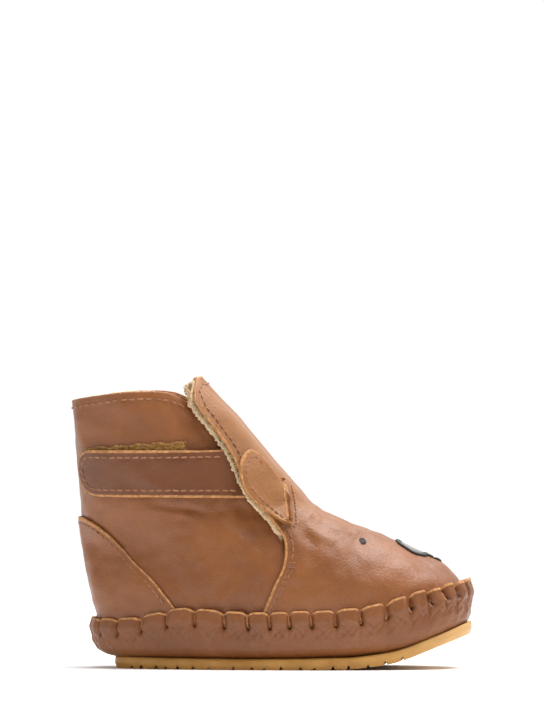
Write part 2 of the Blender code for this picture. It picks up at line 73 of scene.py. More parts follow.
EDGE = [(8, -6.5), (14, -4.4), (21.2, -1.6), (29, 1.8), (36.6, 5.2), (41, 5.8), (45.9, 5.0), (51, 1.2),
        (56.8, -4.4), (61.8, -8.3), (67.6, -11.4), (78, -16.8), (86.3, -22.8), (93.7, -28.7), (100, -31.4),
        (106, -33)]
LIFT = [(8, 1.7), (30, 1.7), (36.6, 1.8), (46, 2.8), (54, 4.0), (60, 4.8), (80, 5.0), (106, 4.4)]
TRAY_TOP = [(-66, 18.0), (-58, 17.8), (-50, 18.2), (-33, 21.4), (-10, 20.3), (8, 20.8), (24, 21.4), (33, 22.2),
            (42, 24), (50, 26.4), (57, 28.3), (63, 29.6), (71, 31.4)]
SPRING = [(-70, 0), (20, 0), (30, 0.35), (37, 1.2), (44.7, 2.6), (57.2, 7.2), (70.1, 12.4), (76, 14.8)]
COLLAR = [(0, 95.0), (0.35, 96.9), (0.55, 98.5), (0.683, 98.6), (0.771, 97.9), (0.855, 96.0), (0.93, 93.4),
          (1, 90.0)]
FLAP_TOP = [(0, 102.5), (0.3, 102.2), (0.55, 101.5), (0.78, 99.9), (0.92, 97.4), (1, 94.2)]
COUNTER = [(-74, 53.9), (-69.4, 53.9), (-64, 52.2), (-57.6, 47.6), (-49, 38.5), (-40.8, 30.3), (-32.8, 20.0),
           (-28.8, 14)]
EAR_RIM = [(4.4, 67.2), (1.5, 70.2), (-1.3, 73.9), (-4.6, 77.2), (-7.0, 78.2), (-9.2, 76.2), (-10.4, 71.2),
           (-9.4, 65.7), (-5.8, 60.6), (0, 56.2), (4.6, 53.3), (6.8, 52.6)]
NOTCHES = (-62.4, -56.2, -47.3, -37.9, -27.6, -16.7, -8.1, -0.2, 7, 15, 23.8, 32.8, 42, 50.3, 57.2, 62.6, 66.8)
GROOVES = (-50, -46.5, -41, -37.5, -33.2, -27.6, -22, -13, -6.5, -2, 4, 11, 16, 22.5, 28, 35, 41, 47)


# ---- numbers -------------------------------------------------------------------------------------
def along(rows, q):
    """Smooth reading of a station table: cubic Hermite arcs whose slopes are the neighbours' chords."""
    k = np.array([r[0] for r in rows], float)
    v = np.array([r[1] for r in rows], float)
    q = np.clip(np.asarray(q, float), k[0], k[-1])
    slope = np.gradient(v, k)
    i = np.clip(np.searchsorted(k, q) - 1, 0, len(k) - 2)
    h = k[i + 1] - k[i]
    u = (q - k[i]) / h
    low = (1 + 2 * u) * (1 - u) ** 2 * v[i] + u * (1 - u) ** 2 * h * slope[i]
    high = u * u * (3 - 2 * u) * v[i + 1] - u * u * (1 - u) * h * slope[i + 1]
    return low + high


def ease(lo, hi, q):
    """Smoothstep: 0 at lo, 1 at hi."""
    u = np.clip((np.asarray(q, float) - lo) / (hi - lo), 0, 1)
    return u * u * (3 - 2 * u)


def ripple(p, size, seed, waves=28):
    """Soft noise about -1..1 with features of the given size: a sum of sines in seeded directions."""
    rng = np.random.default_rng(seed)
    way = rng.normal(size=(waves, 3))
    way /= np.linalg.norm(way, axis=1, keepdims=True)
    way *= 2 * np.pi / (size * rng.uniform(0.7, 1.6, (waves, 1)))
    phase = rng.uniform(0, 2 * np.pi, waves)
    total = np.zeros(p.shape[:-1])
    for k in range(waves):
        total += np.sin(p @ way[k] + phase[k])
    return total * math.sqrt(2 / waves) * 0.7


def unit(v):
    """Vectors over their own lengths."""
    return v / np.maximum(np.linalg.norm(v, axis=-1, keepdims=True), 1e-9)


def between(low, high, rows):
    """Rows evenly spaced from low to high over every column."""
    return low + (high - low) * np.linspace(0, 1, rows)[:, None]


# ---- the skin ------------------------------------------------------------------------------------
def middle(z):
    """Middle and half length of the section at z, from its back and front stations."""
    back = along(BACK, z)
    front = along(FRONT, z)
    return (back + front) / 2, (front - back) / 2


def skin(angle, z):
    """Level section at z: x = middle + half cos a, y = width |sin a|^power (1 + egg cos a)."""
    mid, half = middle(z)
    c = np.cos(angle)
    s = np.sin(angle)
    y = along(HALF, z) * np.sign(s) * np.abs(s) ** along(POWER, z) * (1 + along(EGG, z) * c)
    return np.stack([mid + half * c, y, z + 0 * angle], axis=-1)


def skin_normal(angle, z):
    """Outward normal: cross product of the skin's two central differences."""
    near = np.where(np.abs(np.sin(angle)) < 0.05, 0.05, 0.012)
    round_it = skin(angle + near, z) - skin(angle - near, z)
    up = skin(angle, z + 0.5) - skin(angle, z - 0.5)
    return unit(np.cross(round_it, up))


def laid(angle, z, lift):
    """Skin point moved out along its normal by lift."""
    angle, z = np.broadcast_arrays(np.asarray(angle, float), np.asarray(z, float))
    return skin(angle, z) + skin_normal(angle, z) * np.broadcast_to(lift, angle.shape)[..., None]


def angle_at(x, z):
    """Section angle of station x at height z: arc cosine of its share of the half length."""
    mid, half = middle(z)
    return np.arccos(np.clip((x - mid) / half, -0.9995, 0.9995))


def edge_angle(z):
    """Section angle of the flap's free edge, and of the side seam below it."""
    return angle_at(along(EDGE, z), z)


def wing(t, z):
    """Lift of vamp and flap: none on the ridge, the LIFT table's at their side edges."""
    return along(LIFT, z) * ease(0.1, 0.76, np.abs(t))


def front_lift(angle, z):
    """Lift of the vamp-and-flap leather at any section angle, with its creases and drape."""
    t = np.abs(angle) / edge_angle(z)
    base = skin(angle, z)
    lift = wing(t, z) + folds(base[..., 0], z, FRONT_FOLDS) * ease(0.02, 0.2, t)
    calm = 1 - 0.75 * ease(54, 62, z)
    lift = lift + calm * (0.28 * ripple(base, 17, 5) + 0.12 * ripple(base, 6.5, 6))
    return lift + 0.35 * ease(0.9, 1, t) * ease(50, 66, z)


def on_front(angle, z, extra=0.0):
    """Points of the vamp-and-flap leather's face, moved out by extra."""
    return laid(angle, z, front_lift(angle, z) + extra)


def quarter_lift(angle, z):
    """Lift of the quarter leather: its soft folds and drape."""
    base = skin(angle, z)
    return folds(base[..., 0], z, QUARTER_FOLDS) + 0.3 * ripple(base, 19, 11) + 0.1 * ripple(base, 6, 12)


def counter_lift(angle, z):
    """Lift of the heel counter: one leather above the quarter, with a ripple of its own."""
    return 1.15 + quarter_lift(angle, z) + 0.1 * ripple(skin(angle, z), 7, 31)


def pinned(x, z, sign, extra):
    """Section angles and heights whose lifted points land on the given side-view positions."""
    x = np.asarray(x, float) - 0 * z
    u = x.copy()
    v = np.asarray(z, float) + 0 * x
    for _ in range(7):
        a = sign * angle_at(u, v)
        p = on_front(a, v, extra)
        u = u + 0.8 * (x - p[..., 0])
        v = v + 0.8 * (z - p[..., 2])
    return sign * angle_at(u, v), v


def strap_lift(angle, z, u):
    """Lift of the strap: its height over the quarter, rippled, and pressed down towards its tip."""
    base = skin(angle, z)
    return STRAP_LIFT + 0.18 * ripple(base, 11, 81) + 0.06 * ripple(base, 5, 82) - 0.7 * ease(0.75, 1, u)


def top_points(x, y, lift):
    """Points and normals of the vamp over plan positions, by halving the height bracket."""
    lo = np.full(x.shape, 28.0)
    hi = np.full(x.shape, 104.0)
    for _ in range(36):
        m = (lo + hi) / 2
        mid, half = middle(m)
        c = np.clip((x - mid) / half, -1, 1)
        wide = along(HALF, m) * (1 - c * c) ** (along(POWER, m) / 2) * (1 + along(EGG, m) * c)
        inside = wide > np.abs(y)
        lo = np.where(inside, m, lo)
        hi = np.where(inside, hi, m)
    z = (lo + hi) / 2
    a = np.where(y < 0, -1, 1) * angle_at(x, z)
    return on_front(a, z, lift), skin_normal(a, z)


# ---- mesh building -------------------------------------------------------------------------------
def grid_faces(rows, cols, wrap=False, first=0):
    """Quads of a rows x cols grid of vertices, joined round the columns when wrap is set."""
    index = first + np.arange(rows * cols).reshape(rows, cols)
    if wrap:
        index = np.concatenate([index, index[:, :1]], axis=1)
    return np.stack([index[:-1, :-1], index[:-1, 1:], index[1:, 1:], index[1:, :-1]], axis=-1).reshape(-1, 4)


def piece(name, verts, faces, finish, values=None, merge=0.0):
    """Mesh object from points in millimetres, with float attributes from values."""
    mesh = bpy.data.meshes.new(name)
    placed = (np.asarray(verts).reshape(-1, 3) + np.array([ORIGIN_X, 0, 0])) * MM
    mesh.vertices.add(len(placed))
    mesh.vertices.foreach_set("co", placed.ravel())
    faces = np.asarray(faces)
    mesh.loops.add(faces.size)
    mesh.loops.foreach_set("vertex_index", faces.ravel())
    mesh.polygons.add(len(faces))
    mesh.polygons.foreach_set("loop_start", np.arange(len(faces)) * faces.shape[1])
    mesh.update(calc_edges=True)
    for key, data in (values or {}).items():
        layer = mesh.attributes.new(key, "FLOAT", "POINT")
        layer.data.foreach_set("value", np.asarray(data, np.float32).ravel())
    if merge:
        work = bmesh.new()
        work.from_mesh(mesh)
        bmesh.ops.remove_doubles(work, verts=work.verts, dist=merge * MM)
        work.to_mesh(mesh)
        work.free()
    mesh.polygons.foreach_set("use_smooth", np.ones(len(mesh.polygons), bool))
    mesh.update()
    obj = bpy.data.objects.new(name, mesh)
    bpy.context.scene.collection.objects.link(obj)
    mesh.materials.append(FINISH[finish])
    return obj


def sheet_normals(p):
    """Unit normals of a grid of points turned away from the shaft's middle, and the grid's handedness."""
    n = unit(np.cross(np.gradient(p, axis=1), np.gradient(p, axis=0)))
    outward = 1 if ((p - np.array([-2.0, 0.0, 34.0])) * n).sum() > 0 else -1
    return n * outward, outward


def border(a):
    """Values of a grid array read once round its border."""
    return np.concatenate([a[0, :-1], a[:-1, -1], a[-1, :0:-1], a[:0:-1, 0]])


def panel(name, p, thick, finish, raw=0.4, rim=5, under=None, bare=1.0):
    """Leather panel: grid p is its face, the back lies thick below, and a half-round rim joins them.

    The cut_edge attribute is 1 on the rim and fades over raw millimetres into the face.
    """
    rows, cols = p.shape[:2]
    n, outward = sheet_normals(p)
    back = p - n * (thick if under is None else under[..., None])
    inner_of = np.concatenate([p[1, :-1], p[:-1, -2], p[-2, :0:-1], p[:0:-1, 1]])
    edge_p = border(p)
    edge_n = border(n)
    out = edge_p - inner_of
    out = unit(out - (out * edge_n).sum(-1, keepdims=True) * edge_n)
    edge_b = border(back)
    mid = (edge_p + edge_b) / 2
    half = np.linalg.norm(edge_p - edge_b, axis=-1, keepdims=True) / 2
    turn = np.linspace(0, np.pi, rim + 2)[1:-1]
    rings = [mid + half * (edge_n * math.cos(a) + out * math.sin(a)) for a in turn]
    verts = np.concatenate([p.reshape(-1, 3), back.reshape(-1, 3)] + rings)
    face = grid_faces(rows, cols)
    other = grid_faces(rows, cols, first=rows * cols)
    lead = border(np.arange(rows * cols).reshape(rows, cols))
    tail = lead + rows * cols
    size = len(lead)
    loops = [lead] + [2 * rows * cols + k * size + np.arange(size) for k in range(rim)] + [tail]
    skirts = []
    for a, b in zip(loops[:-1], loops[1:]):
        skirts.append(np.stack([a, b, np.roll(b, -1), np.roll(a, -1)], axis=-1))
    skirt = np.concatenate(skirts)
    if outward > 0:
        faces = np.concatenate([face, other[:, ::-1], skirt])
    else:
        faces = np.concatenate([face[:, ::-1], other, skirt[:, ::-1]])
    step_u = np.linalg.norm(np.diff(p, axis=1), axis=-1)
    step_v = np.linalg.norm(np.diff(p, axis=0), axis=-1)
    run_u = np.concatenate([np.zeros((rows, 1)), np.cumsum(step_u, axis=1)], axis=1)
    run_v = np.concatenate([np.zeros((1, cols)), np.cumsum(step_v, axis=0)], axis=0)
    near = np.minimum(np.minimum(run_u, run_u[:, -1:] - run_u), np.minimum(run_v, run_v[-1:] - run_v))
    edge = 1 - ease(raw * 0.55, raw * 1.25, near)
    values = np.concatenate([edge.ravel() * bare, edge.ravel(), np.full(size * rim, bare)])
    return piece(name, verts, faces, finish, {"cut_edge": values})


def tubes(centres, radius, sides=6, up=None):
    """Many tubes: a ring of an even number of sides round each centre, square to the run, capped with quads.

    centres holds tube, point, xyz and radius holds tube, point.
    """
    count, length = centres.shape[:2]
    radius = np.broadcast_to(radius, (count, length))
    run = unit(np.gradient(centres, axis=1))
    guide = np.zeros_like(centres) + np.array([0.0, 0.31, 0.95]) if up is None else np.broadcast_to(up, centres.shape)
    side = unit(np.cross(run, guide))
    lift = np.cross(side, run)
    turn = np.linspace(0, 2 * np.pi, sides, endpoint=False)
    ring = side[:, :, None] * np.cos(turn)[:, None] + lift[:, :, None] * np.sin(turn)[:, None]
    verts = centres[:, :, None] + ring * radius[:, :, None, None]
    one = grid_faces(length, sides, wrap=True)
    caps = np.array([np.arange(sides)[::-1], (length - 1) * sides + np.arange(sides)])
    quads = (one[None] + (np.arange(count) * length * sides)[:, None, None]).reshape(-1, 4)
    fans = np.array([[cap[0], cap[k], cap[k + 1], cap[k + 2]] for cap in caps for k in range(1, sides - 2, 2)])
    ends = (fans[None] + (np.arange(count) * length * sides)[:, None, None]).reshape(-1, 4)
    return verts.reshape(-1, 3), np.concatenate([quads, ends])


def resample(points, normals, spots):
    """Points and normals at the given distances along a polyline."""
    run = np.concatenate([[0], np.cumsum(np.linalg.norm(np.diff(points, axis=0), axis=1))])
    at = np.stack([np.interp(spots, run, points[:, k]) for k in range(3)], axis=-1)
    up = np.stack([np.interp(spots, run, normals[:, k]) for k in range(3)], axis=-1)
    return at, unit(up)


def line_length(points):
    """Sum of the chords of a polyline."""
    return float(np.linalg.norm(np.diff(points, axis=0), axis=1).sum())


def stitch_row(points, normals, pitch=2.9, share=0.8, radius=0.3, seed=3, arch=0.42):
    """Tubes for one sewn row: each stitch is an arc that leaves the leather and dives back in."""
    total = line_length(points)
    count = max(1, int(round(total / pitch)))
    pitch = total / count
    rng = np.random.default_rng(seed)
    start = (np.arange(count) + (1 - share) / 2) * pitch + rng.uniform(-0.05, 0.05, count) * pitch
    w = np.linspace(0, 1, 7)
    spots = start[:, None] + w * share * pitch
    at, up = resample(points, normals, spots.ravel())
    at = at.reshape(count, 7, 3)
    up = up.reshape(count, 7, 3)
    side = unit(np.cross(np.gradient(at, axis=1), up))
    skew = rng.uniform(-0.14, 0.14, (count, 1))
    rise = arch * np.sin(np.pi * w) ** 0.6 - 0.22
    at = at + up * rise[:, None] + side * (skew * (w - 0.5) * 2)[..., None]
    taper = radius * (0.62 + 0.5 * np.sin(np.pi * w) ** 0.5)
    return tubes(at, np.broadcast_to(taper, (count, 7)), 6, up)


def joined(parts):
    """Several vertex-and-face sets as one."""
    verts = []
    faces = []
    total = 0
    for v, f in parts:
        verts.append(v)
        faces.append(f + total)
        total += len(v)
    return np.concatenate(verts), np.concatenate(faces)


def bend_with_flap(obj):
    """Bakes a finished piece's placement into its own mesh."""
    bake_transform(obj)


# ---- shader writing ------------------------------------------------------------------------------
class Value:
    """A number socket; sums and products on it add Math nodes."""

    def __init__(self, paint, socket):
        self.paint = paint
        self.socket = socket

    def math(self, how, a, b):
        return self.paint.node("ShaderNodeMath", {"operation": how}, {0: a, 1: b})

    def __add__(self, other):
        return self.math("ADD", self, other)

    def __sub__(self, other):
        return self.math("SUBTRACT", self, other)

    def __rsub__(self, other):
        return self.math("SUBTRACT", other, self)

    def __mul__(self, other):
        return self.math("MULTIPLY", self, other)

    __radd__ = __add__
    __rmul__ = __mul__


class Paint:
    """Node writer for one material."""

    def __init__(self, name, roughness, sheen=0.0, sheen_tint=(1, 1, 1), specular=0.5):
        """Shader with its even settings; place is the Object coordinate."""
        self.material = bpy.data.materials.new(name)
        self.material.use_nodes = True
        self.tree = self.material.node_tree
        self.shader = self.tree.nodes["Principled BSDF"]
        self.shader.inputs["Roughness"].default_value = roughness
        self.shader.inputs["Specular IOR Level"].default_value = specular
        self.shader.inputs["Sheen Weight"].default_value = sheen
        self.shader.inputs["Sheen Roughness"].default_value = 0.45
        self.shader.inputs["Sheen Tint"].default_value = (*sheen_tint, 1)
        self.place = self.node("ShaderNodeTexCoord", {}, {}, "Object")

    def node(self, kind, settings, sockets, out=0):
        """Any node: its type, its settings, and values or links for its sockets; gives one output."""
        made = self.tree.nodes.new(kind)
        for key, value in settings.items():
            if key == "stops":
                ramp = made.color_ramp
                while len(ramp.elements) < len(value):
                    ramp.elements.new(0.5)
                for spot, (where, shade) in zip(ramp.elements, value):
                    spot.position = where
                    spot.color = (*shade, 1) if hasattr(shade, "__len__") else (shade, shade, shade, 1)
            else:
                setattr(made, key, value)
        for key, value in sockets.items():
            if isinstance(value, Value):
                self.tree.links.new(value.socket, made.inputs[key])
            elif hasattr(value, "__len__") and len(value) == 3 and made.inputs[key].type == "RGBA":
                made.inputs[key].default_value = (*value, 1)
            else:
                made.inputs[key].default_value = value
        return Value(self, made.outputs[out])

    def feed(self, name, value):
        """Links a value to the shader's socket of that name."""
        self.tree.links.new(value.socket, self.shader.inputs[name])

    def noise(self, size, detail=3.0, rough=0.55, at=None, warp=0.0):
        """Noise with features about size millimetres."""
        sockets = {"Vector": at or self.place, "Scale": 1000.0 / size, "Detail": detail, "Roughness": rough,
                   "Distortion": warp}
        return self.node("ShaderNodeTexNoise", {}, sockets, "Fac")

    def cells(self, size, feature="F1"):
        """Distance pattern of cells about size millimetres across."""
        return self.node("ShaderNodeTexVoronoi", {"feature": feature},
                         {"Vector": self.place, "Scale": 1000.0 / size}, "Distance")

    def stretched(self, scale):
        """Object coordinate scaled along its axes."""
        return self.node("ShaderNodeMapping", {}, {"Vector": self.place, "Scale": scale})

    def mask(self, value, lo, hi):
        """0 below lo, 1 above hi."""
        return self.node("ShaderNodeMapRange", {"interpolation_type": "SMOOTHSTEP"},
                         {"Value": value, "From Min": lo, "From Max": hi}, "Result")

    def mix(self, factor, a, b):
        """Colour a at 0, colour b at 1."""
        return self.node("ShaderNodeMix", {"data_type": "RGBA"}, {"Factor": factor, 6: a, 7: b}, 2)

    def attribute(self, name):
        """Number stored on the mesh under that name."""
        return self.node("ShaderNodeAttribute", {"attribute_name": name}, {}, "Fac")

    def bump(self, height, strength, depth, under=None):
        """Normal tilted by a height, depth in millimetres, over another bump if given."""
        sockets = {"Height": height, "Strength": strength, "Distance": depth * MM}
        if under is not None:
            sockets["Normal"] = under
        return self.node("ShaderNodeBump", {}, sockets, "Normal")


RAW = (0.5, 0.225, 0.075)


def leather(name, tone, marks=1.0, top_sheen=0.0):
    """Waxed full-grain leather: drifting tone, paler rubbed patches, pores, hair lines and a raw cut edge.

    The last argument is how far the tone is painted paler and whiter towards the top of the vamp and flap: a painted
    highlight for the light from above.
    """
    p = Paint(name, 0.5, sheen=0.03, sheen_tint=(1.0, 0.8, 0.6), specular=0.46)
    p.shader.inputs["Coat Weight"].default_value = 0.12
    p.shader.inputs["Coat Roughness"].default_value = 0.36
    tone = np.array(tone)
    drift = p.mask(p.noise(26, 3.0, 0.6), 0.32, 0.7)
    base = p.mix(drift, tuple(tone * np.array([0.86, 0.84, 0.82])), tuple(tone * np.array([1.08, 1.1, 1.12])))
    cloud = p.mask(p.noise(6.5, 5.0, 0.68, warp=0.6), 0.5, 0.76)
    base = p.mix(cloud * (0.42 * marks), base, tuple(tone * np.array([1.26, 1.34, 1.42])))
    fleck = p.mask(p.noise(1.1, 4.0, 0.7), 0.56, 0.78)
    base = p.mix(fleck * (0.2 * marks), base, tuple(tone * np.array([0.66, 0.6, 0.56])))
    hair = p.mask(p.noise(2.2, 6.0, 0.72, at=p.stretched((0.35, 0.5, 1.7))), 0.58, 0.72)
    base = p.mix(hair * (0.4 * marks), base, tuple(tone * np.array([1.3, 1.4, 1.5])))
    # painted highlight: above 38 mm the tone pales and whitens, standing in for the sheen of the light from above
    if top_sheen:
        tall = p.node("ShaderNodeSeparateXYZ", {}, {0: p.place}, "Z")
        base = p.mix(p.mask(tall, 0.038, 0.07) * top_sheen, base, tuple(tone * np.array([1.35, 1.9, 2.9])))
    pores = p.cells(0.62)
    pebble = p.cells(1.5, "DISTANCE_TO_EDGE")
    cut = p.attribute("cut_edge")
    fray = p.noise(0.9, 4.0, 0.7)
    raw = p.mask(cut + (fray - 0.5) * 0.55, 0.42, 0.68)
    suede = p.mix(p.mask(p.noise(1.4, 4.0, 0.7), 0.35, 0.68), tuple(np.array(RAW) * 0.62), tuple(np.array(RAW) * 1.2))
    base = p.mix(raw, base, suede)
    # painted shade: the tray's cord pits are painted near black for the shade inside them
    pit = p.attribute("pit")
    base = p.mix(p.mask(pit, 0.25, 0.85), base, (0.012, 0.006, 0.004))
    p.feed("Base Color", base)
    p.feed("Roughness", 0.38 + p.noise(3.0, 4.0, 0.6) * 0.2 + raw * 0.35)
    grain = p.bump(p.mask(pores, 0.0, 0.55), 0.3, 0.12)
    grain = p.bump(p.mask(pebble, 0.0, 0.22), 0.35, 0.12, grain)
    grain = p.bump(p.noise(4.2, 6.0, 0.65, warp=0.6), 0.36, 0.5, grain)
    grain = p.bump(fray * raw, 0.8, 0.3, grain)
    p.feed("Normal", grain)
    return p.material


def pile(name, light, dark, size=1.3):
    """Curly pile: clumps and loops with pale tips and shaded roots, soft sheen."""
    p = Paint(name, 0.95, sheen=0.5, sheen_tint=(1.0, 0.94, 0.8), specular=0.15)
    clump = p.noise(size * 1.8, 4.0, 0.65, warp=1.2)
    curl = p.noise(size * 0.42, 4.0, 0.7, warp=2.0)
    tone = p.mask(clump * 0.6 + curl * 0.5, 0.4, 0.72)
    base = p.mix(tone, dark, light)
    p.feed("Base Color", base)
    soft = p.bump(clump, 0.8, 0.8)
    p.feed("Normal", p.bump(curl, 0.9, 0.45, soft))
    return p.material


def yarn(name, light, dark, rough=0.62, sheen=0.25):
    """Twisted thread: fine plies and a slight drift of tone."""
    p = Paint(name, rough, sheen=sheen, specular=0.4)
    ply = p.noise(0.35, 3.0, 0.6)
    drift = p.noise(5.0, 2.0, 0.5)
    p.feed("Base Color", p.mix(p.mask(ply * 0.6 + drift * 0.45, 0.38, 0.68), dark, light))
    p.feed("Normal", p.bump(ply, 0.7, 0.12))
    return p.material


def gum(name):
    """Gum rubber: honey colour with moulding haze, tiny bubbles and a painted highlight that pales it towards the
    raised toe.
    """
    p = Paint(name, 0.5, specular=0.45)
    haze = p.mask(p.noise(14, 4.0, 0.6), 0.3, 0.72)
    base = p.mix(haze, (0.4, 0.185, 0.034), (0.52, 0.265, 0.06))
    speck = p.mask(p.cells(1.3), 0.0, 0.16)
    base = p.mix((1 - speck) * 0.18, base, (0.36, 0.15, 0.03))
    # painted highlight: the sole pales towards its raised toe, which faces the key light
    toe = p.node("ShaderNodeSeparateXYZ", {}, {0: p.place}, "X")
    base = p.mix(p.mask(toe, 0.035, 0.07) * 0.4, base, (0.7, 0.45, 0.2))
    p.feed("Base Color", base)
    p.feed("Roughness", 0.42 + p.noise(2.5, 4.0, 0.6) * 0.26)
    grain = p.bump(p.noise(0.7, 3.0, 0.6), 0.25, 0.1)
    p.feed("Normal", p.bump(p.noise(6, 3.0, 0.5), 0.2, 0.3, grain))
    return p.material


def fibre(name, light, dark, size):
    """Pressed or foamed stuff: fine mottling with open pores."""
    p = Paint(name, 0.9, specular=0.2)
    mott = p.noise(size, 5.0, 0.7)
    p.feed("Base Color", p.mix(p.mask(mott, 0.35, 0.66), dark, light))
    p.feed("Normal", p.bump(mott, 0.6, 0.3))
    return p.material


TAN = (0.226, 0.07, 0.0132)
FINISH = {
    "upper": leather("tan_upper_leather", TAN),
    # the vamp and flap leather carries a painted highlight towards its top
    "vamp": leather("tan_vamp_leather", TAN, 1.0, 0.5),
    "tray": leather("tan_tray_leather", (0.192, 0.059, 0.0112), 1.1),
    "strap": leather("tan_strap_leather", (0.142, 0.041, 0.0082), 0.9),
    # the ear's tone is painted lighter and whiter than the upper's: a painted highlight for the light it faces from
    # the front and above
    "ear": leather("tan_ear_leather", (0.3, 0.118, 0.032), 0.9),
    "fleece": pile("cream_fleece", (0.92, 0.7, 0.44), (0.7, 0.48, 0.26)),
    "loop": pile("loop_pile", (0.55, 0.28, 0.055), (0.2, 0.085, 0.014), 0.9),
    "hook": fibre("hook_tape", (0.13, 0.08, 0.05), (0.04, 0.025, 0.016), 0.5),
    "gum": gum("gum_rubber"),
    "thread": yarn("sewing_thread", (0.4, 0.17, 0.072), (0.21, 0.08, 0.03)),
    "lace": yarn("gather_thread", (0.52, 0.235, 0.09), (0.27, 0.11, 0.04)),
    "black": yarn("black_satin_thread", (0.03, 0.029, 0.028), (0.008, 0.008, 0.008), 0.42, 0.1),
    "grey": yarn("grey_satin_thread", (0.28, 0.25, 0.23), (0.13, 0.115, 0.105), 0.5, 0.2),
    "board": fibre("pressed_board", (0.5, 0.42, 0.33), (0.33, 0.26, 0.19), 1.2),
    "foam": fibre("open_foam", (0.85, 0.82, 0.75), (0.62, 0.58, 0.5), 0.8),
}


# ---- upper ---------------------------------------------------------------------------------------
def settle(t, angle, drop):
    """Height of each column's foot, drop below the tray's top edge."""
    z = np.full(np.shape(t), 16.0)
    for _ in range(12):
        x = skin(angle(t, z), z)[..., 0]
        z = along(TRAY_TOP, x) - drop
    return z


def flap_top(t):
    """Height of the flap's rounded top over each column."""
    return along(FLAP_TOP, np.abs(t))


def folds(x, z, lines):
    """Sum of soft folds: each line (x0, z0, x1, z1, depth, width) is a trough that tapers to its ends."""
    total = np.zeros(np.shape(x))
    for x0, z0, x1, z1, depth, width in lines:
        dx, dz = x1 - x0, z1 - z0
        size = math.hypot(dx, dz)
        u = ((x - x0) * dx + (z - z0) * dz) / size**2
        off = ((x - x0) * dz - (z - z0) * dx) / size
        ends = np.clip(4 * u * (1 - u), 0, 1) ** 0.7
        bell = np.exp(-((off / width) ** 2)) - 0.45 * np.exp(-(((off - 1.7 * width) / width) ** 2))
        total += -depth * ends * bell
    return total


FRONT_FOLDS = [(17, 55.5, 29, 48.5, 0.75, 1.2), (20, 55, 33, 50.0, 0.55, 1.0), (13, 52, 24, 45.5, 0.7, 1.6),
               (15, 59, 19, 51, 0.7, 1.3), (9, 50, 17, 42, 0.45, 1.6), (25, 52.5, 35, 46.5, 0.35, 0.9),
               (2, 26, 20, 33, 0.4, 3.0), (34, 24, 52, 31, 0.4, 3.5), (12, 47, 15, 36, 0.3, 1.8)]
QUARTER_FOLDS = [(-12, 60, -2, 40, 0.7, 2.4), (-20, 58, -6, 46, 0.5, 2.0), (-34, 60, -14, 50, 0.4, 1.7),
                 (-44, 59, -22, 56, 0.35, 1.3), (-62, 58, -50, 44, 0.4, 2.6), (-60, 92, -44, 84, 0.35, 3.0),
                 (-38, 97, -28, 84, 0.6, 2.4), (-24, 24, -12, 36, 0.35, 2.2), (-6, 24, -2, 34, 0.35, 1.5),
                 (-48, 40, -30, 50, 0.25, 2.4)]


def front_grid(cols, rows):
    """Columns t = -1..1 across the ridge, rows from the tray up to the flap's rounded top."""
    t = np.linspace(-1, 1, cols)
    t = t * (1 - 0.06 * (1 - t * t))
    low = settle(t, lambda a, z: a * edge_angle(z), 5.2)
    z = between(low, flap_top(t), rows)
    return t + 0 * z, z


def front_panel():
    """Vamp and flap in one leather: the skin lifted by front_lift, from the tray to the flap's top."""
    t, z = front_grid(231, 271)
    a = t * edge_angle(z)
    obj = panel("vamp_and_flap_leather", on_front(a, z), LEATHER, "vamp", raw=0.5)
    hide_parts("vamp", "front_flap")
    bend_with_flap(obj)


def quarter_edge(z):
    """Section angle of the quarter's front edge, tucked under the flap by 5 to 8 mm."""
    tuck = np.interp(z, [38, 60], [8.0, 5.0])
    return angle_at(along(EDGE, z) + tuck, z)


def quarter_grid(cols, rows, drop, top, trim):
    """Columns t = -1..1 from the outer side round the heel; rows from the tray to the collar."""
    t = np.linspace(-1, 1, cols)

    def angle(a, z):
        return np.pi - a * (np.pi - quarter_edge(z) - trim)

    low = settle(t, angle, drop)
    high = along(COLLAR, np.abs(t)) + top
    z = between(low, high, rows)
    return t + 0 * z, z, angle(t, z)


def quarter_panel():
    """Quarter leather: the skin lifted by quarter_lift, from the tray to the collar."""
    _, z, a = quarter_grid(321, 161, 5.4, 0, 0)
    obj = panel("quarter_leather", laid(a, z, quarter_lift(a, z)), LEATHER, "upper", raw=0.2, bare=0.5)
    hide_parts("quarter")
    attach(obj, "foot")


def quarter_lining():
    """Fleece inside the quarter, whose inner face is roughened by two ripples."""
    _, z, a = quarter_grid(241, 121, 4.6, -0.7, 0.03)
    base = skin(a, z)
    fuzz = 0.35 * ripple(base, 2.6, 21) + 0.25 * ripple(base, 1.4, 22)
    p = laid(a, z, -(LEATHER + 0.35) + 0 * z)
    obj = panel("quarter_fleece", p, 2.0, "fleece", under=2.3 + fuzz, rim=4)
    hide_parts("quarter_lining")
    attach(obj, "foot")


def counter_height(a):
    """Height of the counter's top edge over each section angle, by settling height against station."""
    z = np.full(a.shape, 40.0)
    for _ in range(30):
        z = (z + along(COUNTER, skin(a, z)[..., 0])) / 2
    return z


def counter_panel():
    """Heel counter: the skin lifted by counter_lift, up to its own curved top edge."""
    reach = np.pi - angle_at(-31.0, 16.0)
    a = np.pi + np.linspace(-reach, reach, 221)
    low = 14.0
    high = np.maximum(counter_height(a), low + 0.8)
    z = between(low, high, 81)
    a = a + 0 * z
    obj = panel("heel_counter_leather", laid(a, z, counter_lift(a, z)), 1.0, "upper", raw=1.1)
    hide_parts("heel_counter")
    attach(obj, "foot")


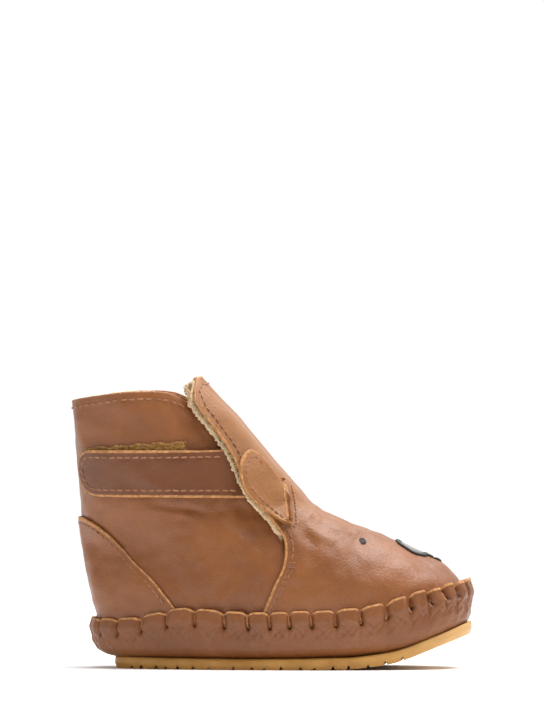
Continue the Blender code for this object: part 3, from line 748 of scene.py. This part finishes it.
def vamp_fleece():
    """Fleece behind the vamp, from the tray to the crease."""
    t = np.linspace(-0.84, 0.84, 141)
    low = settle(t, lambda a, z: a * edge_angle(z), 5.0)
    high = 60.0 - 19.0 * ease(0.25, 0.84, np.abs(t))
    z = between(low, high, 91)
    a = t * edge_angle(z)
    base = skin(a, z)
    fuzz = 0.3 * ripple(base, 2.4, 25) + 0.2 * ripple(base, 1.3, 26)
    obj = panel("vamp_fleece", on_front(a, z, -LEATHER - 0.3), 2.0, "fleece", under=2.0 + fuzz)
    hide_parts("vamp_lining")
    bend_with_flap(obj)


# ---- tray ----------------------------------------------------------------------------------------
def tray_plan(angle, inset):
    """Tray outline in plan: an egg moved in by inset."""
    c = np.cos(angle)
    s = np.sin(angle)
    y = (TRAY_WIDE - inset) * np.sign(s) * np.abs(s) ** 0.7 * (1 + 0.12 * c)
    return TRAY_MIDDLE + (TRAY_LONG - inset) * c, y


def notch_runs(total, run, angle):
    """Distances round the outline of every notch, with evenly filled ones across heel and toe."""
    spots = []
    for x in NOTCHES:
        a = math.acos((x - TRAY_MIDDLE) / TRAY_LONG)
        spots.append(float(np.interp(2 * np.pi - a, angle, run)))
        spots.append(float(np.interp(a, angle, run)) + 1.3 * math.sin(3.1 * x))
    spots = sorted(spots)
    gaps = np.diff(np.concatenate([spots, [spots[0] + total]]))
    for s, g in zip(list(spots), gaps):
        extra = int(round(g / 7.2)) - 1
        for k in range(extra if g > 11.5 else 0):
            spots.append((s + g * (k + 1) / (extra + 1)) % total)
    return np.array(sorted(spots))


def tray_piece():
    """Moccasin tray: rings from a pole under the foot, up the wall, over the scalloped rim and back inside."""
    fine = np.linspace(0, 2 * np.pi, 4001)
    x, y = tray_plan(fine, 0.0)
    run = np.concatenate([[0], np.cumsum(np.hypot(np.diff(x), np.diff(y)))])
    total = run[-1]
    cols = 1020
    s = np.arange(cols) * total / cols
    angle = np.interp(s, run, fine)
    spots = notch_runs(total, run, fine)
    ring = np.concatenate([[spots[-1] - total], spots, [spots[0] + total]])
    k = np.searchsorted(ring, s, side="right") - 1
    pitch = ring[k + 1] - ring[k]
    u = (s - ring[k]) / pitch
    off = np.minimum(u, 1 - u) * pitch
    toe = ease(0.35, 0.85, np.cos(angle))
    lobe = np.clip(1 - (1 - np.clip(off / (pitch * 0.34), 0, 1)) ** 2.4, 0, 1)
    rng = np.random.default_rng(8)
    high = rng.uniform(-0.35, 0.35, len(ring))[k % len(ring)]
    x0, _ = tray_plan(angle, 0.0)
    crest = along(TRAY_TOP, x0) + high * lobe - (1 - lobe) * (1.5 + 1.5 * toe)
    low = along(SPRING, tray_plan(angle, 3.5)[0]) + 4.35
    v = np.concatenate([[0, 0.03, 0.07], np.linspace(0.11, 0.97, 46), [1.0]])[:, None]
    inset = np.interp(v, [0, 0.03, 0.08, 0.2, 0.4, 0.6, 0.8, 1], [6.2, 4.9, 3.6, 1.6, 0.45, 0.0, 0.1, 0.75])
    inset = inset * (1.0 + 0.25 * np.clip(-np.cos(angle), 0, 1) ** 2 - 0.5 * toe) + 1.5 * toe * ease(0.62, 1, v)
    up = ease(0.5, 0.86, v)
    puff = up * (lobe - 0.45) * (1.25 + 0.9 * toe)
    slant = s + (0.75 + 1.6 * toe) * (1 - v) * 2.2 * np.sign(np.sin(angle))
    near = np.abs(slant[..., None] - ring).min(axis=-1)
    below = (1 - v) * (crest - low)
    slot_depth = (1.15 + 0.5 * toe) * np.exp(-((near / (0.5 + 0.25 * toe)) ** 2)) * (1 - ease(3.4, 5.6, below))
    pit = np.exp(-((near / 0.55) ** 2) - ((below - 4.6) / 0.95) ** 2)
    fan = np.zeros_like(below)
    for spread, size in ((-1.5, 0.34), (-0.6, 0.42), (0.35, 0.36), (1.25, 0.42), (2.2, 0.26)):
        drift = slant + spread * np.clip(below - 3.2, 0, None) * 0.62
        ray = np.abs(drift[..., None] - ring).min(axis=-1)
        fan += size * np.exp(-((ray / 0.62) ** 2)) * ease(2.8, 4.6, below) * (1 - ease(7, 12.5, below))
    point = np.stack([x0 + 0 * below, tray_plan(angle, 0.0)[1] + 0 * below, below], axis=-1)
    drape = 0.22 * ripple(point, 9, 41) + 0.12 * ripple(point, 4, 42)
    inset = inset - puff + slot_depth + 1.3 * pit + 0.75 * fan - drape * ease(0.05, 0.3, v)
    x, y = tray_plan(angle, inset)
    z = low + v * (crest - low)
    wall = np.stack([x + 0 * z, y + 0 * z, z], axis=-1)
    fold = 0.55
    rim = []
    for turn in (0.25, 0.5, 0.75, 1.0):
        a = turn * np.pi
        px, py = tray_plan(angle, inset[-1] + fold * (1 - math.cos(a)))
        rim.append(np.stack([px, py, crest + fold * math.sin(a) * 0.9], axis=-1))
    inside = []
    for drop in (1.5, 4.0, 7.0):
        px, py = tray_plan(angle, inset[-1] + 2 * fold + 0.2 + 0.1 * drop)
        inside.append(np.stack([px, py, crest - np.minimum(drop, crest - low - 2)], axis=-1))

    def floor_ring(shrink, share, lift):
        """Outline moved in by shrink, drawn to its middle by share, at a height over the sole's spring."""
        px, py = tray_plan(angle, shrink)
        px = TRAY_MIDDLE + (px - TRAY_MIDDLE) * share
        return np.stack([px, py * share, along(SPRING, px) + lift], axis=-1)

    inside += [floor_ring(7.0, share, 5.8) for share in (0.85, 0.5, 0.0)]
    under = [floor_ring(6.2, share, 4.35) for share in (0.0, 0.5, 0.85)]
    grid = np.concatenate([under, wall, rim, inside])
    cut = np.concatenate([np.zeros((len(under), cols)), 1 - ease(0.12, 0.6, below), np.ones((len(rim), cols)),
                          np.full((len(inside), cols), 0.8)])
    # the pits' mask goes to the tray's shader, which paints them near black as painted shade
    pit_shade = np.zeros(cut.shape)
    pit_shade[len(under):len(under) + len(wall)] = pit
    values = {"cut_edge": cut, "pit": pit_shade}
    faces = grid_faces(grid.shape[0], cols, wrap=True)
    obj = piece("gathered_tray_leather", grid, faces, "tray", values, merge=0.002)
    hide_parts("moccasin_tray")
    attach(obj, "foot")
    gather_stitches(wall, ring[1:-1], s, total, v[:, 0], crest, low)


def gather_stitches(wall, spots, s, total, v, crest, low):
    """One cord per notch: from inside the rim, over the edge and down the fold into its hole."""
    cols = wall.shape[1]
    height = np.interp(spots, s, crest - low)
    toe = ease(40, 66, wall[-1, (spots / total * cols).astype(int) % cols, 0])
    side = np.sign(wall[-1, (spots / total * cols).astype(int) % cols, 1])
    paths = []
    normals = []
    for drop in (4.9, 4.3, 3.4, 2.3, 1.2, 0.3):
        vv = 1 - drop / height
        row = np.clip(np.searchsorted(v, vv), 0, len(v) - 1)
        shift = spots - (0.75 + 1.6 * toe) * (1 - vv) * 2.2 * side
        col = np.round((shift % total) / total * cols).astype(int) % cols
        here = wall[row, col]
        out = unit((here - wall[row, (col + 3) % cols])[:, [1, 0, 2]] * np.array([1, -1, 0]))
        flat = here.copy()
        flat[:, 2] = 0
        outward = np.where(((out * (here - np.array([TRAY_MIDDLE, 0, 0]))).sum(-1) > 0)[:, None], out, -out)
        sink = -0.9 if drop > 4.6 else (0.12 if drop > 4 else 0.42)
        paths.append(here + outward * sink)
        normals.append(outward)
    top = wall[-1, np.round(spots / total * cols).astype(int) % cols]
    paths.append(top + np.array([0, 0, 0.75]) - normals[-1] * 0.35)
    paths.append(top + np.array([0, 0, 0.4]) - normals[-1] * 1.6)
    paths.append(top + np.array([0, 0, -1.4]) - normals[-1] * 2.0)
    centres = np.stack(paths, axis=1)
    fine = np.linspace(0, 1, 19)
    coarse = np.linspace(0, 1, centres.shape[1])
    smooth = np.stack([[np.interp(fine, coarse, c[:, k]) for k in range(3)] for c in centres]).transpose(0, 2, 1)
    smooth[:, 1:-1] = (smooth[:, :-2] + smooth[:, 1:-1] * 2 + smooth[:, 2:]) / 4
    radius = 0.5 * np.interp(fine, [0, 0.12, 0.3, 1], [0.5, 0.8, 1, 1])
    up = np.repeat(np.stack(normals[-1:], axis=1), 19, axis=1)
    verts, faces = tubes(smooth, np.broadcast_to(radius, smooth.shape[:2]), 8, up)
    obj = piece("gather_cord", verts, faces, "lace")
    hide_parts("gather_thread")
    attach(obj, "foot")


# ---- sole ----------------------------------------------------------------------------------------
def outsole_piece():
    """Gum sole: stations across the bend, a rounded side wall, and cross grooves cut into the tread."""
    stations = 700
    share = np.linspace(0, np.pi, stations)
    c = np.cos(share)
    x = SOLE_MIDDLE + SOLE_LONG * c
    half = SOLE_WIDE * np.abs(np.sin(share)) ** 0.7 * (1 + 0.11 * c)
    groove = np.zeros(stations)
    for k, g in enumerate(GROOVES):
        deep = 1.4 if k % 3 else 1.0
        groove = np.maximum(groove, deep * (1 - ease(0.32, 0.5, np.abs(x - g))))
    bend = along(SPRING, x)
    tread = [(0, 0), (0.45, 0), (0.93, 0), (0.985, 0.08)]
    wall = [(1.0, 0.35), (1.0, 1.3), (1.0, 1.62), (1.0, 2.8), (1.0, 3.7), (0.985, 4.25)]
    loop = tread + wall + [(0.9, SOLE_TOP), (0.45, SOLE_TOP), (0, SOLE_TOP)]
    mirror = [(-a, h) for a, h in loop[-2:0:-1]]
    grid = np.zeros((len(loop) + len(mirror), stations, 3))
    for row, (a, h) in enumerate(loop + mirror):
        height = h if h > 1.6 else np.maximum(h, groove)
        tuck = 0.25 * math.sin(math.pi * min(h, SOLE_TOP) / SOLE_TOP) + (0.28 if 1.5 < h < 4.3 else 0.0)
        grid[row] = np.stack([x + tuck * c, a * (half + tuck), bend + height], axis=-1)
    closed = np.concatenate([grid, grid[:1]])
    obj = piece("gum_outsole", closed, grid_faces(len(closed), stations)[:, ::-1], "gum", merge=0.002)
    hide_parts("outsole")
    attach(obj, "foot")


# ---- flap parts ----------------------------------------------------------------------------------
def flap_lining():
    """Fleece under the flap, which reaches a little past the leather at its free edges."""
    t = np.linspace(-1, 1, 181)
    low = 62 - 14 * ease(0.55, 0.98, np.abs(t))
    z = between(low, flap_top(t) - 0.2, 131)
    beyond = 0.9 * ease(0.88, 1, np.abs(t))
    a = t * angle_at(along(EDGE, z) - beyond, z)
    base = skin(a, z)
    fuzz = 0.3 * ripple(base, 2.2, 51) + 0.22 * ripple(base, 1.2, 52)
    lift = wing(t, z) - LEATHER - 0.25 + 0.3 * fuzz * ease(0.9, 1, np.abs(t))
    obj = panel("flap_fleece", laid(a, z, lift), 2.0, "fleece", under=1.9 + fuzz)
    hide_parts("flap_lining")
    bend_with_flap(obj)


def curls(points, normals, size, seed):
    """Fleece locks: one small coiled tube at each point, leaning out along its normal."""
    rng = np.random.default_rng(seed)
    count = len(points)
    w = np.linspace(0, 1, 8)
    axis = unit(normals + rng.normal(0, 0.55, points.shape))
    side = unit(np.cross(axis, rng.normal(size=points.shape)))
    other = np.cross(axis, side)
    coil = rng.uniform(0, 2 * np.pi, (count, 1)) + w * rng.uniform(4.0, 7.5, (count, 1))
    wide = size * rng.uniform(0.5, 1.0, (count, 1))
    tall = size * rng.uniform(0.9, 2.0, (count, 1))
    centres = (points[:, None] + axis[:, None] * (tall * w - 0.4 * size)[..., None]
               + side[:, None] * (wide * np.cos(coil))[..., None] + other[:, None] * (wide * np.sin(coil))[..., None])
    radius = size * 0.42 * (1 - 0.55 * w**2)
    return tubes(centres, np.broadcast_to(radius, (count, 8)), 6)


def flap_fringe():
    """Locks of fleece that stick out past the flap's free edges and over its top."""
    rng = np.random.default_rng(57)
    count = 900
    z = rng.uniform(46.0, 99.5, count)
    sign = np.where(np.arange(count) % 2 == 0, -1, 1)
    a = sign * angle_at(along(EDGE, z) - rng.uniform(0.2, 1.1, count), z)
    depth = rng.uniform(-2.9, -1.5, count)
    pts = on_front(a, z, depth)
    back = unit(pts - laid(sign * angle_at(along(EDGE, z) + 2.0, z), z, front_lift(a, z) + depth))
    t = rng.uniform(-1, 1, 130)
    z_top = flap_top(t) - rng.uniform(0.0, 0.7, 130)
    a_top = t * edge_angle(z_top)
    top = on_front(a_top, z_top, -rng.uniform(1.6, 2.8, 130))
    up = unit(np.array([-0.5, 0, 1.0]) + 0 * top)
    pts = np.concatenate([pts, top])
    back = np.concatenate([back, up])
    obj = piece("flap_fleece_fringe", *curls(pts, back, 0.45, 58), "fleece")
    bend_with_flap(obj)


def collar_fringe():
    """Locks of fleece just inside the collar's edge."""
    rng = np.random.default_rng(59)
    count = 420
    t = rng.uniform(-0.97, 0.97, count)
    z = along(COLLAR, np.abs(t)) - rng.uniform(0.5, 2.4, count)
    a = np.pi - t * (np.pi - quarter_edge(z))
    pts = laid(a, z, -rng.uniform(2.0, 3.6, count))
    inward = unit(np.array([0, 0, 0.6]) - skin_normal(a, z))
    obj = piece("collar_fleece_fringe", *curls(pts, inward, 0.5, 60), "fleece")
    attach(obj, "foot")


def ear_points(rows, cols, pull):
    """Side-view points from the slit line (row 0) to the ear's rim; pull draws the rim inwards."""
    rim = np.array(EAR_RIM)
    run = np.concatenate([[0], np.cumsum(np.linalg.norm(np.diff(rim, axis=0), axis=1))])
    s = np.linspace(0.0, 1.0, cols) * 0.985 + 0.0075
    outer = np.stack([along(list(zip(run / run[-1], rim[:, k])), s) for k in (0, 1)], axis=-1)
    slit = rim[0] + (rim[-1] - rim[0]) * s[:, None]
    heart = np.array([-1.5, 66.0])
    outer = outer + unit(heart - outer) * pull
    r = np.linspace(0, 1, rows)[:, None, None]
    return slit + (outer - slit) * r


def ear_pieces(side, sign):
    """Two leather leaves sewn back to back, their rim standing a little off the flap."""
    flat = ear_points(61, 121, 0)
    r = np.linspace(0, 1, 61)[:, None]
    near_ridge = 0.3 + 0.7 * ease(0, 0.24, np.linspace(0, 1, 121))
    stand = (0.5 + 1.1 * ease(0.2, 1, r) + 0.3 * np.sin(np.pi * r)) * near_ridge
    a, z = pinned(flat[..., 0], flat[..., 1], sign, stand + 0.8)
    for layer, lift, thick in (("back", 0.0, 0.9), ("front", 1.0, 0.95)):
        obj = panel(f"ear_{side}_{layer}_leaf", on_front(a, z, stand + lift), thick, "ear", raw=0.9)
        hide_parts(f"ear_{side}_inner" if layer == "back" else f"ear_{side}_outer")
        bend_with_flap(obj)
    rim = ear_points(2, 121, 2.4)[1, 26:]
    ra, rz = pinned(rim[:, 0], rim[:, 1], sign, 2.5)
    row = stitch_row(on_front(ra, rz, 2.42), skin_normal(ra, rz), 2.1, 0.8, 0.26, 62)
    obj = piece(f"ear_{side}_sewing", *row, "thread")
    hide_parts(f"ear_thread_{side}")
    bend_with_flap(obj)


def slit_lips(side, sign):
    """Folded lip of the slit that holds the ear: a raw-edged roll, with its own sewn row in front."""
    top = np.array([5.1, 66.0])
    foot = np.array([7.3, 52.6])
    w = np.linspace(0, 1, 60)[:, None]
    line = top + (foot - top) * w + np.array([0.5, 0]) * np.sin(np.pi * w)
    x, z = line[:, 0], line[:, 1]
    width = np.linspace(-0.85, 0.85, 13)[:, None]
    fade = (0.2 + 0.8 * ease(0, 0.35, w[:, 0])) * (1 - ease(0.94, 1, w[:, 0]))
    arch = 2.2 * np.sqrt(np.clip(1 - (width / 0.9) ** 2, 0, 1)) * fade
    a, tall = pinned(x + width, z + 0 * width, sign, 1.0)
    obj = panel(f"slit_lip_{side}", on_front(a, tall, 0.1 + arch), 0.9, "upper", raw=1.0)
    bend_with_flap(obj)
    x = np.concatenate([x + 1.9, np.linspace(8.6, 3.6, 16)])
    z = np.concatenate([z - 0.5, np.linspace(51.2, 51.0, 16)])
    a, z = pinned(x, z, sign, 0.1)
    obj = piece(f"slit_sewing_{side}", *stitch_row(on_front(a, z, 0.05), skin_normal(a, z), 1.5, 0.75, 0.24, 71),
                "thread")
    bend_with_flap(obj)


# ---- straps --------------------------------------------------------------------------------------
TIP_ANGLE = 2.74
STRAP_LIFT = 3.1


def fold_x(z):
    """Station of the strap's fold line: a straight line that leans with the flap's edge."""
    return -18.1 + (78 - z) * 0.506


def strap_grid(cols, rows, first, inset, tail):
    """Round-tipped band from the fold line to the heel; u runs along it, rows run up it."""
    u = np.linspace(0, 1, cols)
    u = 1 - (1 - u) ** 1.15
    v = np.linspace(-1, 1, rows)[:, None]
    reach = TIP_ANGLE - tail
    a0 = angle_at(fold_x(70.0) - first, 70.0)
    run = (reach - (a0 + (reach - a0) * u)) * 26.0
    radius = 7.2 - inset
    tip = np.sqrt(np.clip(1 - (1 - np.clip(run / radius, 0, 1)) ** 2, 0.004, 1))
    half = (8.0 - 0.3 * u - inset) * tip
    z = 69.2 + 1.2 * u + half * v
    start = angle_at(fold_x(z) - first, z)
    return start + (reach - start) * u, z, u + 0 * v


def strap_pieces(side, sign):
    """One side's strap leather, its stitches and hook tape, and the loop patch on the quarter."""
    body = "strap_outer" if sign < 0 else "strap_inner"
    a, z, u = strap_grid(221, 49, -0.6, 0, 0)
    p = laid(sign * a, z, strap_lift(sign * a, z, u))
    obj = panel(f"strap_{side}_leather", p, LEATHER, "strap", raw=0.4)
    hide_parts(f"strap_{side}")
    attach(obj, body)
    a, z, u = strap_grid(200, 3, 2.0, 2.0, 0.076)
    la = np.concatenate([a[0], a[2, ::-1]])
    lz = np.concatenate([z[0], z[2, ::-1]])
    lu = np.concatenate([u[0], u[2, ::-1]])
    lift = strap_lift(sign * la, lz, lu)
    row = stitch_row(laid(sign * la, lz, lift), skin_normal(sign * la, lz), 2.9, 0.8, 0.28, 83)
    obj = piece(f"strap_{side}_sewing", *row, "thread")
    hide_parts(f"strap_thread_{side}")
    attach(obj, body)
    a, z, u = strap_grid(140, 41, 22.0, 1.7, 0.08)
    hooks = 0.12 * np.sin(z * 5.2) * np.sin(a * 150)
    p = laid(sign * a, z, STRAP_LIFT - LEATHER - 0.12 - 0.7 * ease(0.75, 1, u))
    obj = panel(f"strap_{side}_hook_tape", p, 0.5, "hook", under=0.45 + hooks)
    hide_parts(f"strap_tape_{side}")
    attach(obj, body)
    x = np.linspace(-66.4, -30.4, 121)
    z = between(62.9, 78.6 + (x + 66.4) * 0.068 + 0.25 * np.sin(x * 0.9), 71)
    a = sign * angle_at(x + 0.25 * np.sin(z * 2.1), z)
    base = skin(a, z)
    fuzz = 0.2 * ripple(base, 1.6, 91) + 0.16 * ripple(base, 0.9, 92)
    obj = panel(f"loop_patch_{side}_pile", laid(a, z, 1.0 + fuzz), 0.7, "loop", raw=0.2)
    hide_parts(f"loop_patch_{side}")
    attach(obj, "foot")


# ---- sewing on the foot and flap -----------------------------------------------------------------
def quarter_sewing():
    """Collar row, counter rows and side-seam rows."""
    t = np.linspace(-0.86, 0.86, 260)
    z = along(COLLAR, np.abs(t)) - 2.3
    a = np.pi - t * (np.pi - quarter_edge(z))
    row = stitch_row(laid(a, z, quarter_lift(a, z)), skin_normal(a, z), 3.0, 0.78, 0.28, 101)
    obj = piece("collar_sewing", *row, "thread")
    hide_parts("collar_thread")
    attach(obj, "foot")
    reach = np.pi - angle_at(-35.5, 22.0)
    a = np.pi + np.linspace(-reach, reach, 300)
    z = counter_height(a)
    run = np.gradient(skin(a, z), axis=0)
    down = unit(np.cross(run, skin_normal(a, z)))
    down *= -np.sign(down[:, 2:])
    pts = laid(a, z, counter_lift(a, z)) + down * 1.9
    obj = piece("counter_sewing", *stitch_row(pts, skin_normal(a, z), 2.4, 0.72, 0.24, 102), "thread")
    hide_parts("counter_thread")
    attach(obj, "foot")
    for side, sign in SIDES:
        parts = []
        for gap, seed in ((1.9, 104), (3.0, 105)):
            z = np.linspace(19.5, 36.0, 40)
            a = sign * angle_at(along(EDGE, z) + gap, z)
            parts.append(stitch_row(on_front(a, z), skin_normal(a, z), 2.3, 0.7, 0.22, seed))
        x = np.linspace(6.2, 9.0, 12)
        for k in range(3):
            z = np.full(12, 36.2 + 0.7 * k)
            a = sign * angle_at(x, z)
            parts.append(stitch_row(on_front(a, z), skin_normal(a, z), 1.5, 0.85, 0.22, 106 + k))
        obj = piece(f"side_seam_sewing_{side}", *joined(parts), "thread")
        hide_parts(f"vamp_seam_thread_{side}")
        bend_with_flap(obj)


def flap_sewing():
    """One row 2.2 mm inside the flap's free edge, up one side, over the top and down the other."""
    z = np.linspace(38.5, 92, 150)
    side_a = angle_at(along(EDGE, z) + 2.2, z)
    t = np.linspace(0.86, -0.86, 90)
    z_top = flap_top(t) - 2.4
    top_a = t * edge_angle(z_top)
    a = np.concatenate([side_a, top_a, -side_a[::-1]])
    z = np.concatenate([z, z_top, z[::-1]])
    row = stitch_row(on_front(a, z, 0.1), skin_normal(a, z), 2.6, 0.78, 0.25, 111)
    obj = piece("flap_edge_sewing", *row, "thread")
    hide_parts("flap_edge_thread")
    bend_with_flap(obj)


# ---- face ----------------------------------------------------------------------------------------
def satin(centre, reach_x, reach_y, rows, radius, lift, across):
    """Parallel satin threads that fill an oval, each one arched over it."""
    spots = np.linspace(-0.93, 0.93, rows)
    w = np.linspace(-1, 1, 9)
    span = np.sqrt(1 - spots**2)[:, None]
    if across:
        x = centre[0] + reach_x * (spots[:, None] + 0 * w)
        y = centre[1] + reach_y * span * w
    else:
        x = centre[0] + reach_x * span * w
        y = centre[1] + reach_y * (spots[:, None] + 0 * w)
    pts, up = top_points(x, y, lift)
    pts = pts + up * (0.25 * (1 - w**4) - 0.25)[:, None]
    taper = radius * (0.6 + 0.4 * (1 - w**4))
    return tubes(pts, np.broadcast_to(taper, x.shape), 6, up)


def face_pieces():
    """Embroidered nose, mouth and eyes in satin stitch."""
    verts, faces = satin((NOSE_X, 0.0), 4.6, 5.8, 26, 0.3, 0.35, True)
    obj = piece("nose_satin", verts, faces, "grey")
    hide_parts("nose_patch")
    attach(obj, "foot")
    turn = np.linspace(0, 2 * np.pi, 120, endpoint=False)[:, None]
    w = np.linspace(-1, 1, 7)
    grow = 0.9 * w
    x = NOSE_X + (5.0 + grow) * np.cos(turn)
    y = (6.4 + grow) * np.sin(turn)
    pts, up = top_points(x, y, 0.35)
    pts = pts + up * (0.5 * np.sqrt(1 - w**2) - 0.2)[:, None]
    ring = tubes(pts, np.broadcast_to(0.27 * (0.7 + 0.3 * np.sqrt(1 - w**2)), x.shape), 6, up)
    obj = piece("nose_satin_border", *ring, "black")
    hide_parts("nose_border")
    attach(obj, "foot")
    parts = []
    for shift in (-0.5, 0.0, 0.5):
        x = np.linspace(54.4, 60.0, 60)
        pts, up = top_points(x, np.full(60, shift) * (1 - ease(58, 60.2, x)), 0.12)
        parts.append(stitch_row(pts, up, 2.8, 0.995, 0.5, 121, 0.42))
    obj = piece("mouth_sewing", *joined(parts), "black")
    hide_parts("mouth_stitch")
    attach(obj, "foot")
    for side, sign in SIDES:
        eye = satin((EYE[0], sign * EYE[1]), 1.35, 1.3, 9, 0.2, 0.1, False)
        obj = piece(f"eye_{side}_satin", *eye, "black")
        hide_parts(f"eye_{side}")
        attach(obj, "foot")


# ---- inside --------------------------------------------------------------------------------------
def repaint_hidden():
    """Finishes for the CAD pieces that stay as they are, inside the bootie."""
    keep = {"footbed_fleece": "fleece", "footbed_foam": "foam", "insole_board": "board",
            "heel_stiffener": "board", "strap_anchor_right": "strap",
            "strap_anchor_left": "strap"}
    for node, finish in keep.items():
        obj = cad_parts[node]
        obj.data.materials.clear()
        obj.data.materials.append(FINISH[finish])


# ---- light and camera ----------------------------------------------------------------------------
def area_light(name, place, aim, size, power):
    """Soft rectangular lamp at place, turned to aim."""
    data = bpy.data.lights.new(name, "AREA")
    data.shape = "RECTANGLE"
    data.size = size[0]
    data.size_y = size[1]
    data.energy = power
    lamp = bpy.data.objects.new(name, data)
    bpy.context.scene.collection.objects.link(lamp)
    lamp.location = place
    lamp.rotation_euler = (Vector(aim) - Vector(place)).to_track_quat("-Z", "Y").to_euler()


def studio():
    """White sweep, soft key from above and in front, and a long-lens camera at sole height."""
    reach = 1.5
    run = np.linspace(-reach, reach, 9)
    grid = np.stack(np.meshgrid(run, run), axis=-1)
    pts = np.concatenate([grid, np.zeros((9, 9, 1))], axis=-1)
    mesh = bpy.data.meshes.new("floor")
    mesh.from_pydata(pts.reshape(-1, 3).tolist(), [], grid_faces(9, 9).tolist())
    floor = bpy.data.objects.new("floor", mesh)
    bpy.context.scene.collection.objects.link(floor)
    p = Paint("studio_floor", 0.8, specular=0.1)
    p.shader.inputs["Base Color"].default_value = (0.93, 0.93, 0.93, 1)
    mesh.materials.append(p.material)
    world = bpy.data.worlds.new("studio")
    bpy.context.scene.world = world
    world.use_nodes = True
    back = world.node_tree.nodes["Background"]
    back.inputs["Color"].default_value = (1, 1, 1, 1)
    back.inputs["Strength"].default_value = 0.26
    area_light("top", (0.25, -0.05, 1.1), (0, 0, 0.05), (0.9, 0.9), 22.0)
    area_light("side", (0.9, -0.5, 0.7), (0, 0, 0.05), (0.6, 0.6), 1.4)
    area_light("fill", (-0.9, -0.6, 0.45), (0, 0, 0.05), (0.6, 0.6), 1.6)
    area_light("rim", (0.3, 0.6, 0.95), (0, 0, 0.06), (0.7, 0.5), 3.6)
    wall = bpy.data.meshes.new("backdrop")
    wall.from_pydata([(-1.6, 0.75, -0.1), (1.6, 0.75, -0.1), (1.6, 0.75, 1.6), (-1.6, 0.75, 1.6)], [], [(0, 1, 2, 3)])
    sweep = bpy.data.objects.new("backdrop", wall)
    bpy.context.scene.collection.objects.link(sweep)
    glow = Paint("studio_backdrop", 1.0, specular=0.0)
    glow.shader.inputs["Base Color"].default_value = (0, 0, 0, 1)
    glow.shader.inputs["Emission Color"].default_value = (1, 1, 1, 1)
    glow.shader.inputs["Emission Strength"].default_value = 1.05
    glow.feed("Alpha", 1 - glow.node("ShaderNodeNewGeometry", {}, {}, "Backfacing"))
    wall.materials.append(glow.material)
    data = bpy.data.cameras.new("camera")
    data.lens = 485.0
    data.sensor_width = 36.0
    data.clip_end = 20.0
    camera = bpy.data.objects.new("camera", data)
    bpy.context.scene.collection.objects.link(camera)
    yaw = math.radians(3.0)
    rise = math.radians(0.3)
    aim = Vector((0.0, 0.0, 0.1093))
    far = 3.5
    camera.location = aim + far * Vector((math.sin(yaw) * math.cos(rise), -math.cos(yaw) * math.cos(rise),
                                          math.sin(rise)))
    camera.rotation_euler = (aim - camera.location).to_track_quat("-Z", "Y").to_euler()
    bpy.context.scene.camera = camera
    bpy.context.scene.view_settings.view_transform = "Standard"


def main():
    """Builds every piece."""
    studio()
    front_panel()
    quarter_panel()
    quarter_lining()
    vamp_fleece()
    counter_panel()
    tray_piece()
    outsole_piece()
    flap_lining()
    flap_fringe()
    collar_fringe()
    for side, sign in SIDES:
        ear_pieces(side, sign)
        slit_lips(side, sign)
        strap_pieces(side, sign)
    quarter_sewing()
    flap_sewing()
    face_pieces()
    repaint_hidden()


main()
